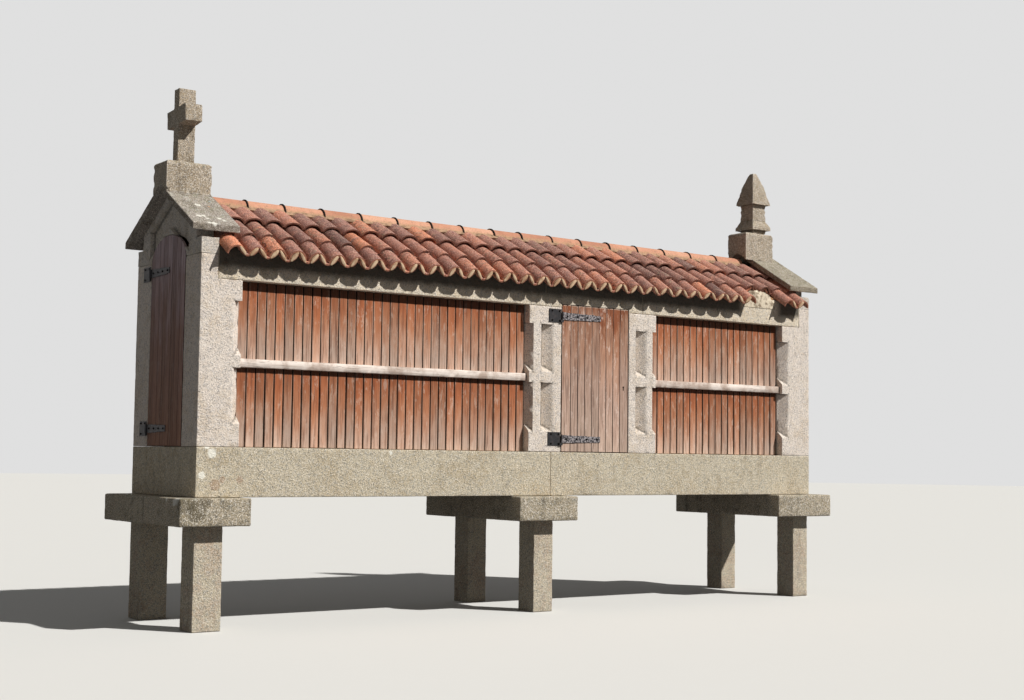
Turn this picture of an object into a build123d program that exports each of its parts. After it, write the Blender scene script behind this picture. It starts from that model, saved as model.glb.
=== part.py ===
from build123d import *
from math import cos, radians, sin
import os

# A granary of granite and timber, raised on legs.
# Millimetres. +Z is up, X runs along the building and -Y is the long front with the side door.
# The origin is on the ground, below the middle of the chamber.

# Overall sizes of the chamber
LENGTH = 7220
WIDTH = 1360

# Heights, from the ground up
LEG_HEIGHT = 865
CAP_THICKNESS = 235
BEAM_HEIGHT = 420
BAY_HEIGHT = 1405
LINTEL_HEIGHT = 275

# Legs and the flat caps over them
LEG_WIDTH = 260
LEG_DEPTH = 245
MIDDLE_LEG_WIDTH = 230
MIDDLE_LEG_SHIFT = -25
RIGHT_LEG_WIDTH = 220
RIGHT_LEG_INSET = 30
CAP_OVERHANG = 195
CAP_SIDE_OVERHANG = 140
LEFT_CAP_WIDTH = 645
MIDDLE_CAP_WIDTH = 695
RIGHT_CAP_WIDTH = 805
MIDDLE_CAP_SHIFT = -60

# Base beams, sills and floor
BEAM_DEPTH = 320
BEAM_JOINT_SHIFT = 50
SILL_THICKNESS = 280
FLOOR_THICKNESS = 40
STONE_JOINT = 4
PIECE_GAP = 5

# Corner posts and gable walls
CORNER_WIDTH = 385
RIGHT_CORNER_WIDTH = 420
CORNER_DEPTH = 315
GABLE_THICKNESS = 158
GABLE_DOOR_RISE = 220
GABLE_HEAD_RISE = 205
GABLE_SHOULDER = 136
GABLE_SHOULDER_WIDTH = 110
GABLE_WALL_RECESS = 30
RIM_WIDTH = 70
SUNK_DEPTH = 50
ARCH_BORDER = 60

# Posts beside the side door, and their stations along the front
POST_DEPTH = 250
BAY_LEFT_WIDTH = 3005
DOOR_POST_LEFT_WIDTH = 390
SIDE_DOOR_WIDTH = 850
DOOR_POST_RIGHT_WIDTH = 365

# Upright cuts in the posts, V grooves and edge chamfers, flat above and sloping out below
CUT_DEPTH = 78
STOP_SLOPE = 0.9
GROOVE_WIDTH = 145
GROOVE_APEX = 45
LEFT_GROOVE_OFFSET = 142
RIGHT_GROOVE_OFFSET = 128
CORNER_CHAMFER = 75
RIGHT_CORNER_CHAMFER = 95
POST_CHAMFER = 50
SUNK_TOP = 1230
SUNK_MIDDLE_TOP = 770
SUNK_MIDDLE_BOTTOM = 665
SUNK_BOTTOM = 195

# Boarded bays
BOARD_SETBACK = 80
BOARD_THICKNESS = 30
RAIL_SETBACK = 33
RAIL_BOTTOM = 673
RAIL_HEIGHT = 75

# Roof
EAVE_OVERHANG = 170
ROOF_SLOPE = 0.535
TILE_THICKNESS = 115
TILE_LIFT = 6
TILE_BED = 18
TILE_PITCH = 197.5
COVER_HALF_WIDTH = 86
COVER_CORNERS = (0, 45, 90, 135, 180)
ROOF_BOARD_THICKNESS = 30
ROOF_BOARD_START = 20
RIDGE_TILE_RADIUS = 95
RIDGE_TILE_DROP = 53
RIDGE_BEAM_WIDTH = 120
RIDGE_BEAM_HEIGHT = 130
RIDGE_BEAM_POCKET = 60
MISSING_TILE_INSET = 950
MISSING_TILE_WIDTH = 420
MISSING_TILE_DEPTH = 200

# Stone slabs over the rakes of both gables
VERGE_SLOPE = 0.58
VERGE_GAP = 9
VERGE_THICKNESS = 65
VERGE_OVERHANG = 100
VERGE_WIDTH = 430
VERGE_EAVE = 40
VERGE_REAR_EAVE = 75

# Pedestals, cross and pinnacle
PEDESTAL_WIDTH = 422
PEDESTAL_DEPTH = 290
LEFT_PEDESTAL_HEIGHT = 196
RIGHT_PEDESTAL_HEIGHT = 231
RIGHT_PEDESTAL_INSET = 20
PEDESTAL_ROUNDING = 35
CROSS_INSET = 32
CROSS_WIDTH = 163
CROSS_THICKNESS = 108
CROSS_HEIGHT = 655
CROSS_ARM_SPAN = 394
CROSS_ARM_HEIGHT = 158
CROSS_ARM_MIDDLE = 410
CROSS_ARM_TILT = -4
PINNACLE_INSET = 190
PINNACLE_NECK = 200
PINNACLE_BASE = 280
PINNACLE_TIP = 60
PINNACLE_FOOT_HEIGHT = 40
PINNACLE_FLARE_HEIGHT = 35
PINNACLE_TAPER_HEIGHT = 75
PINNACLE_NECK_HEIGHT = 180
PINNACLE_HEAD_HEIGHT = 370
PINNACLE_BULGE = 0.55

# Doors
LEAF_THICKNESS = 36
LEAF_GAP = 6
SIDE_DOOR_REBATE = 32
SIDE_DOOR_REBATE_DEPTH = 45
SIDE_HINGE_RISE = 127
SIDE_HINGE_DROP = 85
GABLE_HINGE_RISE = 155
GABLE_HINGE_DROP = 90
SIDE_STRAP_LENGTH = 480
GABLE_STRAP_LENGTH = 400
STRAP_WIDTH = 76
STRAP_END_WIDTH = 52
STRAP_THICKNESS = 7
PIN_RADIUS = 6
PIN_STANDOFF = 14
PIN_CLEARANCE = 0.3
EYE_RADIUS = 11
PLATE_LENGTH = 145
PLATE_HEIGHT = 130
PLATE_THICKNESS = 6
LUG_HEIGHT = 24
LUG_WIDTH = 14
SEAT_GAP = 0.5

# Edges worn round on every dressed stone
STONE_EDGE = 8
TIMBER_EDGE = 3

# Levels and faces that follow from the sizes above
LEFT = -LENGTH / 2
RIGHT = LENGTH / 2
FRONT = -WIDTH / 2
REAR = WIDTH / 2
CAP_BOTTOM = LEG_HEIGHT
BEAM_BOTTOM = CAP_BOTTOM + CAP_THICKNESS
BEAM_TOP = BEAM_BOTTOM + BEAM_HEIGHT
LINTEL_BOTTOM = BEAM_TOP + BAY_HEIGHT
LINTEL_TOP = LINTEL_BOTTOM + LINTEL_HEIGHT
TILES_OVER_WALL = LINTEL_TOP + TILE_LIFT + TILE_THICKNESS
RIDGE_Z = TILES_OVER_WALL + ROOF_SLOPE * WIDTH / 2
VERGE_RIDGE_Z = TILES_OVER_WALL + VERGE_GAP + VERGE_SLOPE * WIDTH / 2
VERGE_APEX = VERGE_RIDGE_Z + VERGE_THICKNESS
LEFT_PEDESTAL_TOP = VERGE_APEX + LEFT_PEDESTAL_HEIGHT
RIGHT_PEDESTAL_TOP = VERGE_APEX + RIGHT_PEDESTAL_HEIGHT
HEAD_BOTTOM = LINTEL_BOTTOM + GABLE_HEAD_RISE
GABLE_DOOR_WIDTH = WIDTH - 2 * CORNER_DEPTH
SIDE_HINGE_LEVELS = (BEAM_TOP + SIDE_HINGE_RISE, LINTEL_BOTTOM - SIDE_HINGE_DROP)
GABLE_HINGE_LEVELS = (BEAM_TOP + GABLE_HINGE_RISE, HEAD_BOTTOM - GABLE_HINGE_DROP)
BAY_LEFT_START = LEFT + CORNER_WIDTH
DOOR_POST_LEFT = BAY_LEFT_START + BAY_LEFT_WIDTH
SIDE_DOOR_START = DOOR_POST_LEFT + DOOR_POST_LEFT_WIDTH
DOOR_POST_RIGHT = SIDE_DOOR_START + SIDE_DOOR_WIDTH
BAY_RIGHT_START = DOOR_POST_RIGHT + DOOR_POST_RIGHT_WIDTH
BAY_RIGHT_END = RIGHT - RIGHT_CORNER_WIDTH
MARGIN = 50


def block(x0, x1, y0, y1, z0, z1, edge=0):
    """A box between two corners, its edges worn round by the radius edge."""
    body = Pos((x0 + x1) / 2, (y0 + y1) / 2, (z0 + z1) / 2) * Box(x1 - x0, y1 - y0, z1 - z0)
    return fillet(body.edges(), edge) if edge else body


def across(x0, x1, points):
    """A solid between two stations along the length, with an outline of (y, z) points."""
    profile = Plane.YZ * make_face(Polyline(*points, close=True))
    return Pos(x0, 0, 0) * extrude(profile, x1 - x0)


def rear_copy(body):
    """The same piece on the rear side."""
    return mirror(body, Plane.XZ)


def right_copy(body):
    """The same piece at the other end."""
    return mirror(body, Plane.YZ)


def legs():
    """Three square legs under the front wall and three under the rear wall."""
    left = (LEFT, LEG_WIDTH)
    middle = (MIDDLE_LEG_SHIFT - MIDDLE_LEG_WIDTH / 2, MIDDLE_LEG_WIDTH)
    right = (RIGHT - RIGHT_LEG_INSET - RIGHT_LEG_WIDTH, RIGHT_LEG_WIDTH)
    front = [
        block(start, start + width, FRONT, FRONT + LEG_DEPTH, 0, LEG_HEIGHT, STONE_EDGE)
        for start, width in (left, middle, right)
    ]
    return Compound(children=front), Compound(children=[rear_copy(leg) for leg in front])


def cap(start, width):
    """A flat stone over a front and a rear leg, reaching out all round them."""
    front = FRONT - CAP_SIDE_OVERHANG
    return block(start, start + width, front, -front, CAP_BOTTOM, BEAM_BOTTOM, 2 * STONE_EDGE)


def front_beam():
    """The base beam under the front wall, in two stones that meet over the middle cap."""
    joint = BEAM_JOINT_SHIFT
    half_gap = STONE_JOINT / 2
    return Compound(children=[
        block(start, end, FRONT, FRONT + BEAM_DEPTH, BEAM_BOTTOM, BEAM_TOP, STONE_EDGE)
        for start, end in ((LEFT, joint - half_gap), (joint + half_gap, RIGHT))
    ])


def left_sill():
    """The sill stone between the base beams at the left end."""
    edge = FRONT + BEAM_DEPTH
    return block(LEFT, LEFT + SILL_THICKNESS, edge, -edge, BEAM_BOTTOM, BEAM_TOP, STONE_EDGE)


def floor_planks():
    """The plank floor on the base beams, with a tongue towards each gable."""
    top = BEAM_TOP + FLOOR_THICKNESS
    y = FRONT + POST_DEPTH + PIECE_GAP
    x0 = BAY_LEFT_START + PIECE_GAP
    x1 = BAY_RIGHT_END - PIECE_GAP
    main = block(x0, x1, y, -y, BEAM_TOP, top)
    tongue_y = FRONT + CORNER_DEPTH + PIECE_GAP
    tongue_x = LEFT + GABLE_THICKNESS + PIECE_GAP
    return main + block(tongue_x, -tongue_x, tongue_y, -tongue_y, BEAM_TOP, top)


def stopped_cut(outline, low, high):
    """An upright cutter over an (x, y) outline, flat above and sloping out to the face below."""
    xs = [x for x, y in outline]
    face = FRONT - 2 * MARGIN
    back = FRONT + 2 * CUT_DEPTH
    shaft = Pos(0, 0, low - 2 * MARGIN) * extrude(
        make_face(Polyline(*outline, close=True)), high - low + 2 * MARGIN, dir=(0, 0, 1))
    stop = across(min(xs) - MARGIN, max(xs) + MARGIN, [
        (face, low + (face - FRONT) * STOP_SLOPE),
        (back, low + (back - FRONT) * STOP_SLOPE),
        (back, high + MARGIN),
        (face, high + MARGIN),
    ])
    return shaft & stop


def both_rows(outline):
    """The same cut in the upper and the lower part of a post."""
    rows = ((SUNK_MIDDLE_TOP, SUNK_TOP), (SUNK_BOTTOM, SUNK_MIDDLE_BOTTOM))
    return [stopped_cut(outline, BEAM_TOP + low, BEAM_TOP + high) for low, high in rows]


def edge_chamfer(x, side, width):
    """Outline of the cut along the front edge at x of a post.

    side is 1 where the bay lies towards +X of the edge and -1 where it lies towards -X.
    """
    return [
        (x - side * width, FRONT - MARGIN),
        (x - side * width, FRONT),
        (x, FRONT + CUT_DEPTH),
        (x + side * MARGIN, FRONT + CUT_DEPTH),
        (x + side * MARGIN, FRONT - MARGIN),
    ]


def groove(x):
    """Outline of a V groove that starts at x, steep on its left side and flatter on its right."""
    return [
        (x, FRONT - MARGIN),
        (x, FRONT),
        (x + GROOVE_APEX, FRONT + CUT_DEPTH),
        (x + GROOVE_WIDTH, FRONT),
        (x + GROOVE_WIDTH, FRONT - MARGIN),
    ]


def left_corner_post(width, chamfer):
    """The front left corner post, with a tongue that runs up beside the lintel."""
    post = block(LEFT, LEFT + width, FRONT, FRONT + CORNER_DEPTH, BEAM_TOP, LINTEL_BOTTOM,
                 STONE_EDGE)
    post += block(LEFT, LEFT + GABLE_THICKNESS, FRONT, FRONT + CORNER_DEPTH,
                  LINTEL_BOTTOM - MARGIN, HEAD_BOTTOM, STONE_EDGE)
    return post - both_rows(edge_chamfer(LEFT + width, 1, chamfer))


def door_post(start, width, side, groove_offset):
    """A post beside the side door, with two V grooves and a chamfer towards its bay."""
    post = block(start, start + width, FRONT, FRONT + POST_DEPTH, BEAM_TOP, LINTEL_BOTTOM,
                 STONE_EDGE)
    edge = start if side < 0 else start + width
    groove_start = edge + groove_offset if side < 0 else edge - groove_offset - GROOVE_WIDTH
    return post - both_rows(groove(groove_start)) - both_rows(edge_chamfer(edge, side, POST_CHAMFER))


def front_lintel():
    """Three lintel stones over the front bays, with joints over the posts beside the door."""
    end = LEFT + GABLE_THICKNESS + STONE_JOINT / 2
    joints = [
        DOOR_POST_LEFT + DOOR_POST_LEFT_WIDTH / 2,
        DOOR_POST_RIGHT + DOOR_POST_RIGHT_WIDTH / 2,
    ]
    starts = [end] + [joint + STONE_JOINT / 2 for joint in joints]
    ends = [joint - STONE_JOINT / 2 for joint in joints] + [-end]
    return [
        block(start, stop, FRONT, FRONT + POST_DEPTH, LINTEL_BOTTOM, LINTEL_TOP, STONE_EDGE)
        for start, stop in zip(starts, ends)
    ]


def front_lintel_with_rebate():
    """The front lintel, rebated over the side door for the top of its leaf."""
    left, middle, right = front_lintel()
    rebate = block(SIDE_DOOR_START, DOOR_POST_RIGHT, FRONT - MARGIN, FRONT + SIDE_DOOR_REBATE_DEPTH,
                   LINTEL_BOTTOM - MARGIN, LINTEL_BOTTOM + SIDE_DOOR_REBATE)
    return Compound(children=[left, middle - rebate, right])


def board_panel(start, end):
    """The upright boards that close a bay, as one panel."""
    y = FRONT + BOARD_SETBACK
    return block(start, end, y, y + BOARD_THICKNESS, BEAM_TOP, LINTEL_BOTTOM)


def rail(start, end):
    """The rail across a bay, in front of its boards."""
    z = BEAM_TOP + RAIL_BOTTOM
    return block(start, end, FRONT + RAIL_SETBACK, FRONT + BOARD_SETBACK, z, z + RAIL_HEIGHT,
                 TIMBER_EDGE)


def roof_line(y, drop=0):
    """Height of the tiled roof at a distance y from the ridge line, less a drop."""
    return RIDGE_Z - ROOF_SLOPE * abs(y) - drop


def verge_line(y, drop=0):
    """Height of the verge slabs' upper face at a distance y from the ridge line, less a drop."""
    return VERGE_APEX - VERGE_SLOPE * abs(y) - drop


def gable_head(x0, x1):
    """The gable stone under the verge slabs, shouldered at the eaves."""
    step = FRONT + GABLE_SHOULDER_WIDTH
    shoulder = HEAD_BOTTOM + GABLE_SHOULDER
    left_half = [
        (FRONT, HEAD_BOTTOM),
        (FRONT, shoulder),
        (step, shoulder),
        (step, verge_line(step, VERGE_THICKNESS)),
    ]
    apex = [(0, VERGE_RIDGE_Z)]
    right_half = [(-y, z) for y, z in reversed(left_half)]
    return across(x0, x1, left_half + apex + right_half)


def ridge_beam():
    """The timber ridge beam, let into both gable heads, with a pitched top under the boards."""
    half = RIDGE_BEAM_WIDTH / 2
    top_drop = TILE_THICKNESS + ROOF_BOARD_THICKNESS
    end = LEFT + GABLE_THICKNESS - RIDGE_BEAM_POCKET
    bottom = roof_line(0, top_drop) - RIDGE_BEAM_HEIGHT
    return across(end, -end, [
        (-half, bottom),
        (half, bottom),
        (half, roof_line(half, top_drop)),
        (0, roof_line(0, top_drop)),
        (-half, roof_line(half, top_drop)),
    ])


def arch_opening(inset=0):
    """Outline of the gable doorway, a straight-sided opening under a low curved head."""
    half = GABLE_DOOR_WIDTH / 2 - inset
    rise = GABLE_DOOR_RISE - inset
    head = Pos(0, HEAD_BOTTOM) * Ellipse(half, rise)
    straight = HEAD_BOTTOM - BEAM_TOP - inset
    return head + Pos(0, HEAD_BOTTOM - straight / 2) * Rectangle(2 * half, straight)


def sunk_gable_field():
    """Outline of the sunk field between the gable's rims and the border of its doorway."""
    apex = VERGE_RIDGE_Z - RIM_WIDTH
    half = GABLE_DOOR_WIDTH / 2 + ARCH_BORDER - STONE_EDGE
    foot = apex - VERGE_SLOPE * half
    outline = make_face(Polyline((-half, HEAD_BOTTOM + STONE_EDGE), (-half, foot), (0, apex),
                                 (half, foot), (half, HEAD_BOTTOM + STONE_EDGE), close=True))
    arch_top = HEAD_BOTTOM + GABLE_DOOR_RISE + ARCH_BORDER
    cover = make_face(Polyline((-half, HEAD_BOTTOM), (-half, arch_top - VERGE_SLOPE * half),
                               (0, arch_top), (half, arch_top - VERGE_SLOPE * half),
                               (half, HEAD_BOTTOM), close=True))
    return outline - cover


def left_gable_head():
    """The left gable stone with its arched doorway and sunk field."""
    head = gable_head(LEFT, LEFT + GABLE_THICKNESS)
    doorway = Pos(LEFT - MARGIN, 0, 0) * extrude(Plane.YZ * arch_opening(), GABLE_THICKNESS + 2 * MARGIN)
    field = Pos(LEFT - MARGIN, 0, 0) * extrude(Plane.YZ * sunk_gable_field(), SUNK_DEPTH + MARGIN)
    return head - doorway - field - ridge_beam()


def right_gable_head():
    """The right gable stone, plain, over a closed wall."""
    return gable_head(RIGHT - GABLE_THICKNESS, RIGHT) - ridge_beam()


def right_gable_wall():
    """The wall stone that closes the right gable between its corner posts."""
    y = FRONT + CORNER_DEPTH
    return block(RIGHT - GABLE_THICKNESS, RIGHT - GABLE_WALL_RECESS, y, -y, BEAM_TOP, HEAD_BOTTOM)


def cover_tile(middle, bed, crest):
    """Outline of one cover tile over its bed, seen from the eave, as (x, z) points."""
    return [
        (middle - COVER_HALF_WIDTH * cos(radians(turn)), bed + (crest - bed) * sin(radians(turn)))
        for turn in COVER_CORNERS
    ]


def tiled_slope():
    """The tiled front slope: rows of half-round cover tiles, up the slope over their bed."""
    x = LEFT + GABLE_THICKNESS + PIECE_GAP
    eave = FRONT - EAVE_OVERHANG
    bottom = roof_line(eave, TILE_THICKNESS)
    bed = bottom + TILE_BED
    rows = int((-2 * x - 2 * COVER_HALF_WIDTH) / TILE_PITCH) + 1
    outline = [(x, bottom), (x, bed)]
    for row in range(rows):
        middle = (row - (rows - 1) / 2) * TILE_PITCH
        outline += cover_tile(middle, bed, roof_line(eave))
    outline += [(-x, bed), (-x, bottom)]
    profile = Pos(0, eave, 0) * (Plane.XZ * make_face(Polyline(*outline, close=True)))
    up_slope = Vector(0, -eave, -eave * ROOF_SLOPE)
    return extrude(profile, up_slope.length, dir=up_slope)


def front_tiles():
    """The tiled front slope, broken away where tiles are missing."""
    eave = FRONT - EAVE_OVERHANG
    start = RIGHT - MISSING_TILE_INSET
    missing = block(start, start + MISSING_TILE_WIDTH, eave - MARGIN, eave + MISSING_TILE_DEPTH,
                    LINTEL_BOTTOM, RIDGE_Z)
    return tiled_slope() - missing


def rear_tiles():
    """The tiled rear slope, whole."""
    return rear_copy(tiled_slope())


def roof_boards():
    """The boards under the tiles, one slope on each side, seated on lintels and ridge beam."""
    x = LEFT + GABLE_THICKNESS + PIECE_GAP
    start = FRONT + ROOF_BOARD_START
    under = TILE_THICKNESS + ROOF_BOARD_THICKNESS
    seat = -(RIDGE_Z - under - LINTEL_TOP) / ROOF_SLOPE
    front = across(x, -x, [
        (start, LINTEL_TOP),
        (start, roof_line(start, TILE_THICKNESS)),
        (-STONE_JOINT / 2, roof_line(STONE_JOINT / 2, TILE_THICKNESS)),
        (-STONE_JOINT / 2, roof_line(STONE_JOINT / 2, under)),
        (seat, LINTEL_TOP),
    ])
    return Compound(children=[front, rear_copy(front)])


def ridge_tiles():
    """The row of half-round ridge tiles between the pedestals, bedded down between the covers."""
    x0 = LEFT - VERGE_OVERHANG + VERGE_WIDTH + PIECE_GAP
    x1 = RIGHT - RIGHT_PEDESTAL_INSET - PEDESTAL_WIDTH - PIECE_GAP
    centre = RIDGE_Z - RIDGE_TILE_DROP
    half_width = 2 * RIDGE_TILE_RADIUS
    bed = TILE_THICKNESS - TILE_BED
    row = Pos(x0, 0, centre) * extrude(Plane.YZ * Circle(RIDGE_TILE_RADIUS), x1 - x0)
    below = across(x0 - MARGIN, x1 + MARGIN, [
        (-half_width, roof_line(half_width, bed)),
        (0, roof_line(0, bed)),
        (half_width, roof_line(half_width, bed)),
        (half_width, centre - half_width),
        (-half_width, centre - half_width),
    ])
    return row - below - tiled_slope() - rear_tiles()


def verge_slab(overhang):
    """The stone slab over the front rake of the left gable, reaching past the wall."""
    x0 = LEFT - VERGE_OVERHANG
    eave = FRONT - overhang
    gap = STONE_JOINT / 2
    slab = across(x0, x0 + VERGE_WIDTH, [
        (eave, verge_line(eave, VERGE_THICKNESS)),
        (eave, verge_line(eave)),
        (-gap, verge_line(gap)),
        (-gap, verge_line(gap, VERGE_THICKNESS)),
    ])
    return fillet(slab.edges(), STONE_EDGE)


def verge_slabs():
    """The two stone slabs over the left gable's rakes, the rear one longer."""
    return Compound(children=[verge_slab(VERGE_EAVE), rear_copy(verge_slab(VERGE_REAR_EAVE))])


def pedestal(x0, top):
    """A block with worn upper edges that straddles the verge slabs at the ridge."""
    half = PEDESTAL_DEPTH / 2
    low = verge_line(half)
    body = block(x0, x0 + PEDESTAL_WIDTH, -half, half, low, top)
    body = fillet(body.edges().group_by(Axis.Z)[-1], PEDESTAL_ROUNDING)
    side = half + MARGIN
    saddle = across(x0 - MARGIN, x0 + PEDESTAL_WIDTH + MARGIN, [
        (-side, verge_line(side)),
        (0, verge_line(0)),
        (side, verge_line(side)),
        (side, low - MARGIN),
        (-side, low - MARGIN),
    ])
    return body - saddle


def cross():
    """A plain stone cross on the left pedestal, its arms across the building."""
    x0 = LEFT + CROSS_INSET
    foot = LEFT_PEDESTAL_TOP
    half = CROSS_THICKNESS / 2
    shaft = block(x0, x0 + CROSS_WIDTH, -half, half, foot, foot + CROSS_HEIGHT)
    arms = Rot(CROSS_ARM_TILT, 0, 0) * Box(CROSS_WIDTH, CROSS_ARM_SPAN, CROSS_ARM_HEIGHT)
    body = shaft + Pos(x0 + CROSS_WIDTH / 2, 0, foot + CROSS_ARM_MIDDLE) * arms
    return fillet(body.edges(), STONE_EDGE)


def square_at(size, z):
    """A horizontal square of the given size at a height."""
    return Pos(0, 0, z) * Rectangle(size, size)


def pinnacle():
    """The square pinnacle on the right pedestal: foot, flare, neck and tapered head."""
    z = RIGHT_PEDESTAL_TOP
    body = Pos(0, 0, z + PINNACLE_FOOT_HEIGHT / 2) * Box(PINNACLE_NECK, PINNACLE_NECK,
                                                       PINNACLE_FOOT_HEIGHT)
    z += PINNACLE_FOOT_HEIGHT
    body += loft([square_at(PINNACLE_BASE, z), square_at(PINNACLE_BASE, z + PINNACLE_FLARE_HEIGHT)])
    z += PINNACLE_FLARE_HEIGHT
    body += loft([square_at(PINNACLE_BASE, z), square_at(PINNACLE_NECK, z + PINNACLE_TAPER_HEIGHT)])
    z += PINNACLE_TAPER_HEIGHT
    body += Pos(0, 0, z + PINNACLE_NECK_HEIGHT / 2) * Box(PINNACLE_NECK, PINNACLE_NECK,
                                                         PINNACLE_NECK_HEIGHT)
    z += PINNACLE_NECK_HEIGHT
    middle = z + PINNACLE_HEAD_HEIGHT * PINNACLE_BULGE
    middle_size = PINNACLE_TIP + (PINNACLE_BASE - PINNACLE_TIP) * PINNACLE_BULGE
    body += loft([square_at(PINNACLE_BASE, z), square_at(middle_size, middle)])
    body += loft([square_at(middle_size, middle), square_at(PINNACLE_TIP, z + PINNACLE_HEAD_HEIGHT)])
    return Pos(RIGHT - PINNACLE_INSET, 0, 0) * body


def hinge_plate(length):
    """One plate on the stone, with a lug and a pin.

    Local frame: the pin stands on the Z axis, the leaf lies towards +X and the outside is -Y.
    The plate's middle is at Z = 0 and length is how far it reaches from the pin.
    """
    back = PIN_STANDOFF
    start = -EYE_RADIUS - PIECE_GAP
    plate = block(start - length, start, back - PLATE_THICKNESS, back, -PLATE_HEIGHT / 2, PLATE_HEIGHT / 2)
    lug_top = -STRAP_WIDTH / 2 - SEAT_GAP
    lug = block(start - LUG_WIDTH, PIN_RADIUS, -PIN_RADIUS, back - PLATE_THICKNESS,
                lug_top - LUG_HEIGHT, lug_top)
    pin_height = STRAP_WIDTH + SEAT_GAP + PIECE_GAP
    pin = Pos(0, 0, lug_top + pin_height / 2) * Cylinder(PIN_RADIUS, pin_height)
    return plate + lug + pin


def hinge_strap(length):
    """One strap with an eye round the pin, in the same local frame as its plate."""
    half = STRAP_WIDTH / 2
    end_half = STRAP_END_WIDTH / 2
    back = PIN_STANDOFF
    start = LEAF_GAP / 2
    outline = make_face(Polyline((start, -half), (length, -end_half), (length, end_half), (start, half),
                                 close=True))
    bar = Pos(0, back, 0) * extrude(Plane.XZ * outline, STRAP_THICKNESS)
    eye = Cylinder(EYE_RADIUS, STRAP_WIDTH)
    neck = block(start, EYE_RADIUS, 0, back, -half, half)
    bore = Cylinder(PIN_RADIUS + PIN_CLEARANCE, STRAP_WIDTH + MARGIN)
    return (bar + eye + neck) - bore


def hung(location, levels, piece):
    """The same hinge piece at each level of a door, at the given place."""
    return Compound(children=[location * (Pos(0, 0, level) * piece) for level in levels])


SIDE_HINGE = Pos(SIDE_DOOR_START + LEAF_GAP / 2, FRONT - PIN_STANDOFF, 0)
GABLE_HINGE = Pos(LEFT - PIN_STANDOFF, GABLE_DOOR_WIDTH / 2 - LEAF_GAP / 2, 0) * Rot(0, 0, -90)


def side_door():
    """The boarded leaf of the side door."""
    return block(SIDE_DOOR_START + LEAF_GAP, DOOR_POST_RIGHT - LEAF_GAP, FRONT, FRONT + LEAF_THICKNESS,
                 BEAM_TOP + LEAF_GAP, LINTEL_BOTTOM + SIDE_DOOR_REBATE - LEAF_GAP)


def gable_door():
    """The round-headed boarded leaf in the left gable."""
    return Pos(LEFT, 0, 0) * extrude(Plane.YZ * arch_opening(LEAF_GAP), LEAF_THICKNESS)


def build_parts():
    """Every node of the granary by name."""
    legs_front, legs_rear = legs()
    corner = left_corner_post(CORNER_WIDTH, CORNER_CHAMFER)
    right_corner = right_copy(left_corner_post(RIGHT_CORNER_WIDTH, RIGHT_CORNER_CHAMFER))
    lintel = Compound(children=front_lintel())
    post_left = door_post(DOOR_POST_LEFT, DOOR_POST_LEFT_WIDTH, -1, LEFT_GROOVE_OFFSET)
    post_right = door_post(DOOR_POST_RIGHT, DOOR_POST_RIGHT_WIDTH, 1, RIGHT_GROOVE_OFFSET)
    sill = left_sill()
    slabs = verge_slabs()
    bays = ((BAY_LEFT_START, DOOR_POST_LEFT), (SIDE_DOOR_START, DOOR_POST_RIGHT),
            (BAY_RIGHT_START, BAY_RIGHT_END))
    left_bay, middle_bay, right_bay = bays
    return {
        "legs_front": legs_front,
        "legs_rear": legs_rear,
        "cap_left": cap(LEFT - CAP_OVERHANG, LEFT_CAP_WIDTH),
        "cap_middle": cap(MIDDLE_CAP_SHIFT - MIDDLE_CAP_WIDTH / 2, MIDDLE_CAP_WIDTH),
        "cap_right": cap(RIGHT + CAP_OVERHANG - RIGHT_CAP_WIDTH, RIGHT_CAP_WIDTH),
        "beam_front": front_beam(),
        "beam_rear": rear_copy(front_beam()),
        "sill_left": sill,
        "sill_right": right_copy(sill),
        "floor_planks": floor_planks(),
        "corner_post_front_left": corner,
        "corner_post_rear_left": rear_copy(corner),
        "corner_post_front_right": right_corner,
        "corner_post_rear_right": rear_copy(right_corner),
        "door_post_left": post_left,
        "door_post_right": post_right,
        "rear_post_left": rear_copy(post_left),
        "rear_post_right": rear_copy(post_right),
        "lintel_front": front_lintel_with_rebate(),
        "lintel_rear": rear_copy(lintel),
        "boards_front_left": board_panel(*left_bay),
        "boards_front_right": board_panel(*right_bay),
        "boards_rear": Compound(children=[rear_copy(board_panel(*bay)) for bay in bays]),
        "rails_front": Compound(children=[rail(*left_bay), rail(*right_bay)]),
        "rails_rear": Compound(children=[rear_copy(rail(*bay)) for bay in bays]),
        "gable_head_left": left_gable_head(),
        "gable_head_right": right_gable_head(),
        "gable_wall_right": right_gable_wall(),
        "ridge_beam": ridge_beam(),
        "roof_boards": roof_boards(),
        "roof_tiles_front": front_tiles(),
        "roof_tiles_rear": rear_tiles(),
        "ridge_tiles": ridge_tiles(),
        "verge_slabs_left": slabs,
        "verge_slabs_right": right_copy(slabs),
        "pedestal_left": pedestal(LEFT - VERGE_OVERHANG, LEFT_PEDESTAL_TOP),
        "pedestal_right": pedestal(RIGHT - RIGHT_PEDESTAL_INSET - PEDESTAL_WIDTH, RIGHT_PEDESTAL_TOP),
        "cross": cross(),
        "pinnacle": pinnacle(),
        "side_door": side_door(),
        "side_door_straps": hung(SIDE_HINGE, SIDE_HINGE_LEVELS, hinge_strap(SIDE_STRAP_LENGTH)),
        "side_door_plates": hung(SIDE_HINGE, SIDE_HINGE_LEVELS, hinge_plate(PLATE_LENGTH)),
        "gable_door": gable_door(),
        "gable_door_straps": hung(GABLE_HINGE, GABLE_HINGE_LEVELS, hinge_strap(GABLE_STRAP_LENGTH)),
        "gable_door_plates": hung(GABLE_HINGE, GABLE_HINGE_LEVELS, hinge_plate(PLATE_LENGTH)),
    }


def main():
    """Write one STEP file for each node."""
    os.makedirs("parts", exist_ok=True)
    for name, body in build_parts().items():
        export_step(body, f"parts/{name}.step")


if __name__ == "__main__":
    main()
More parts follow.
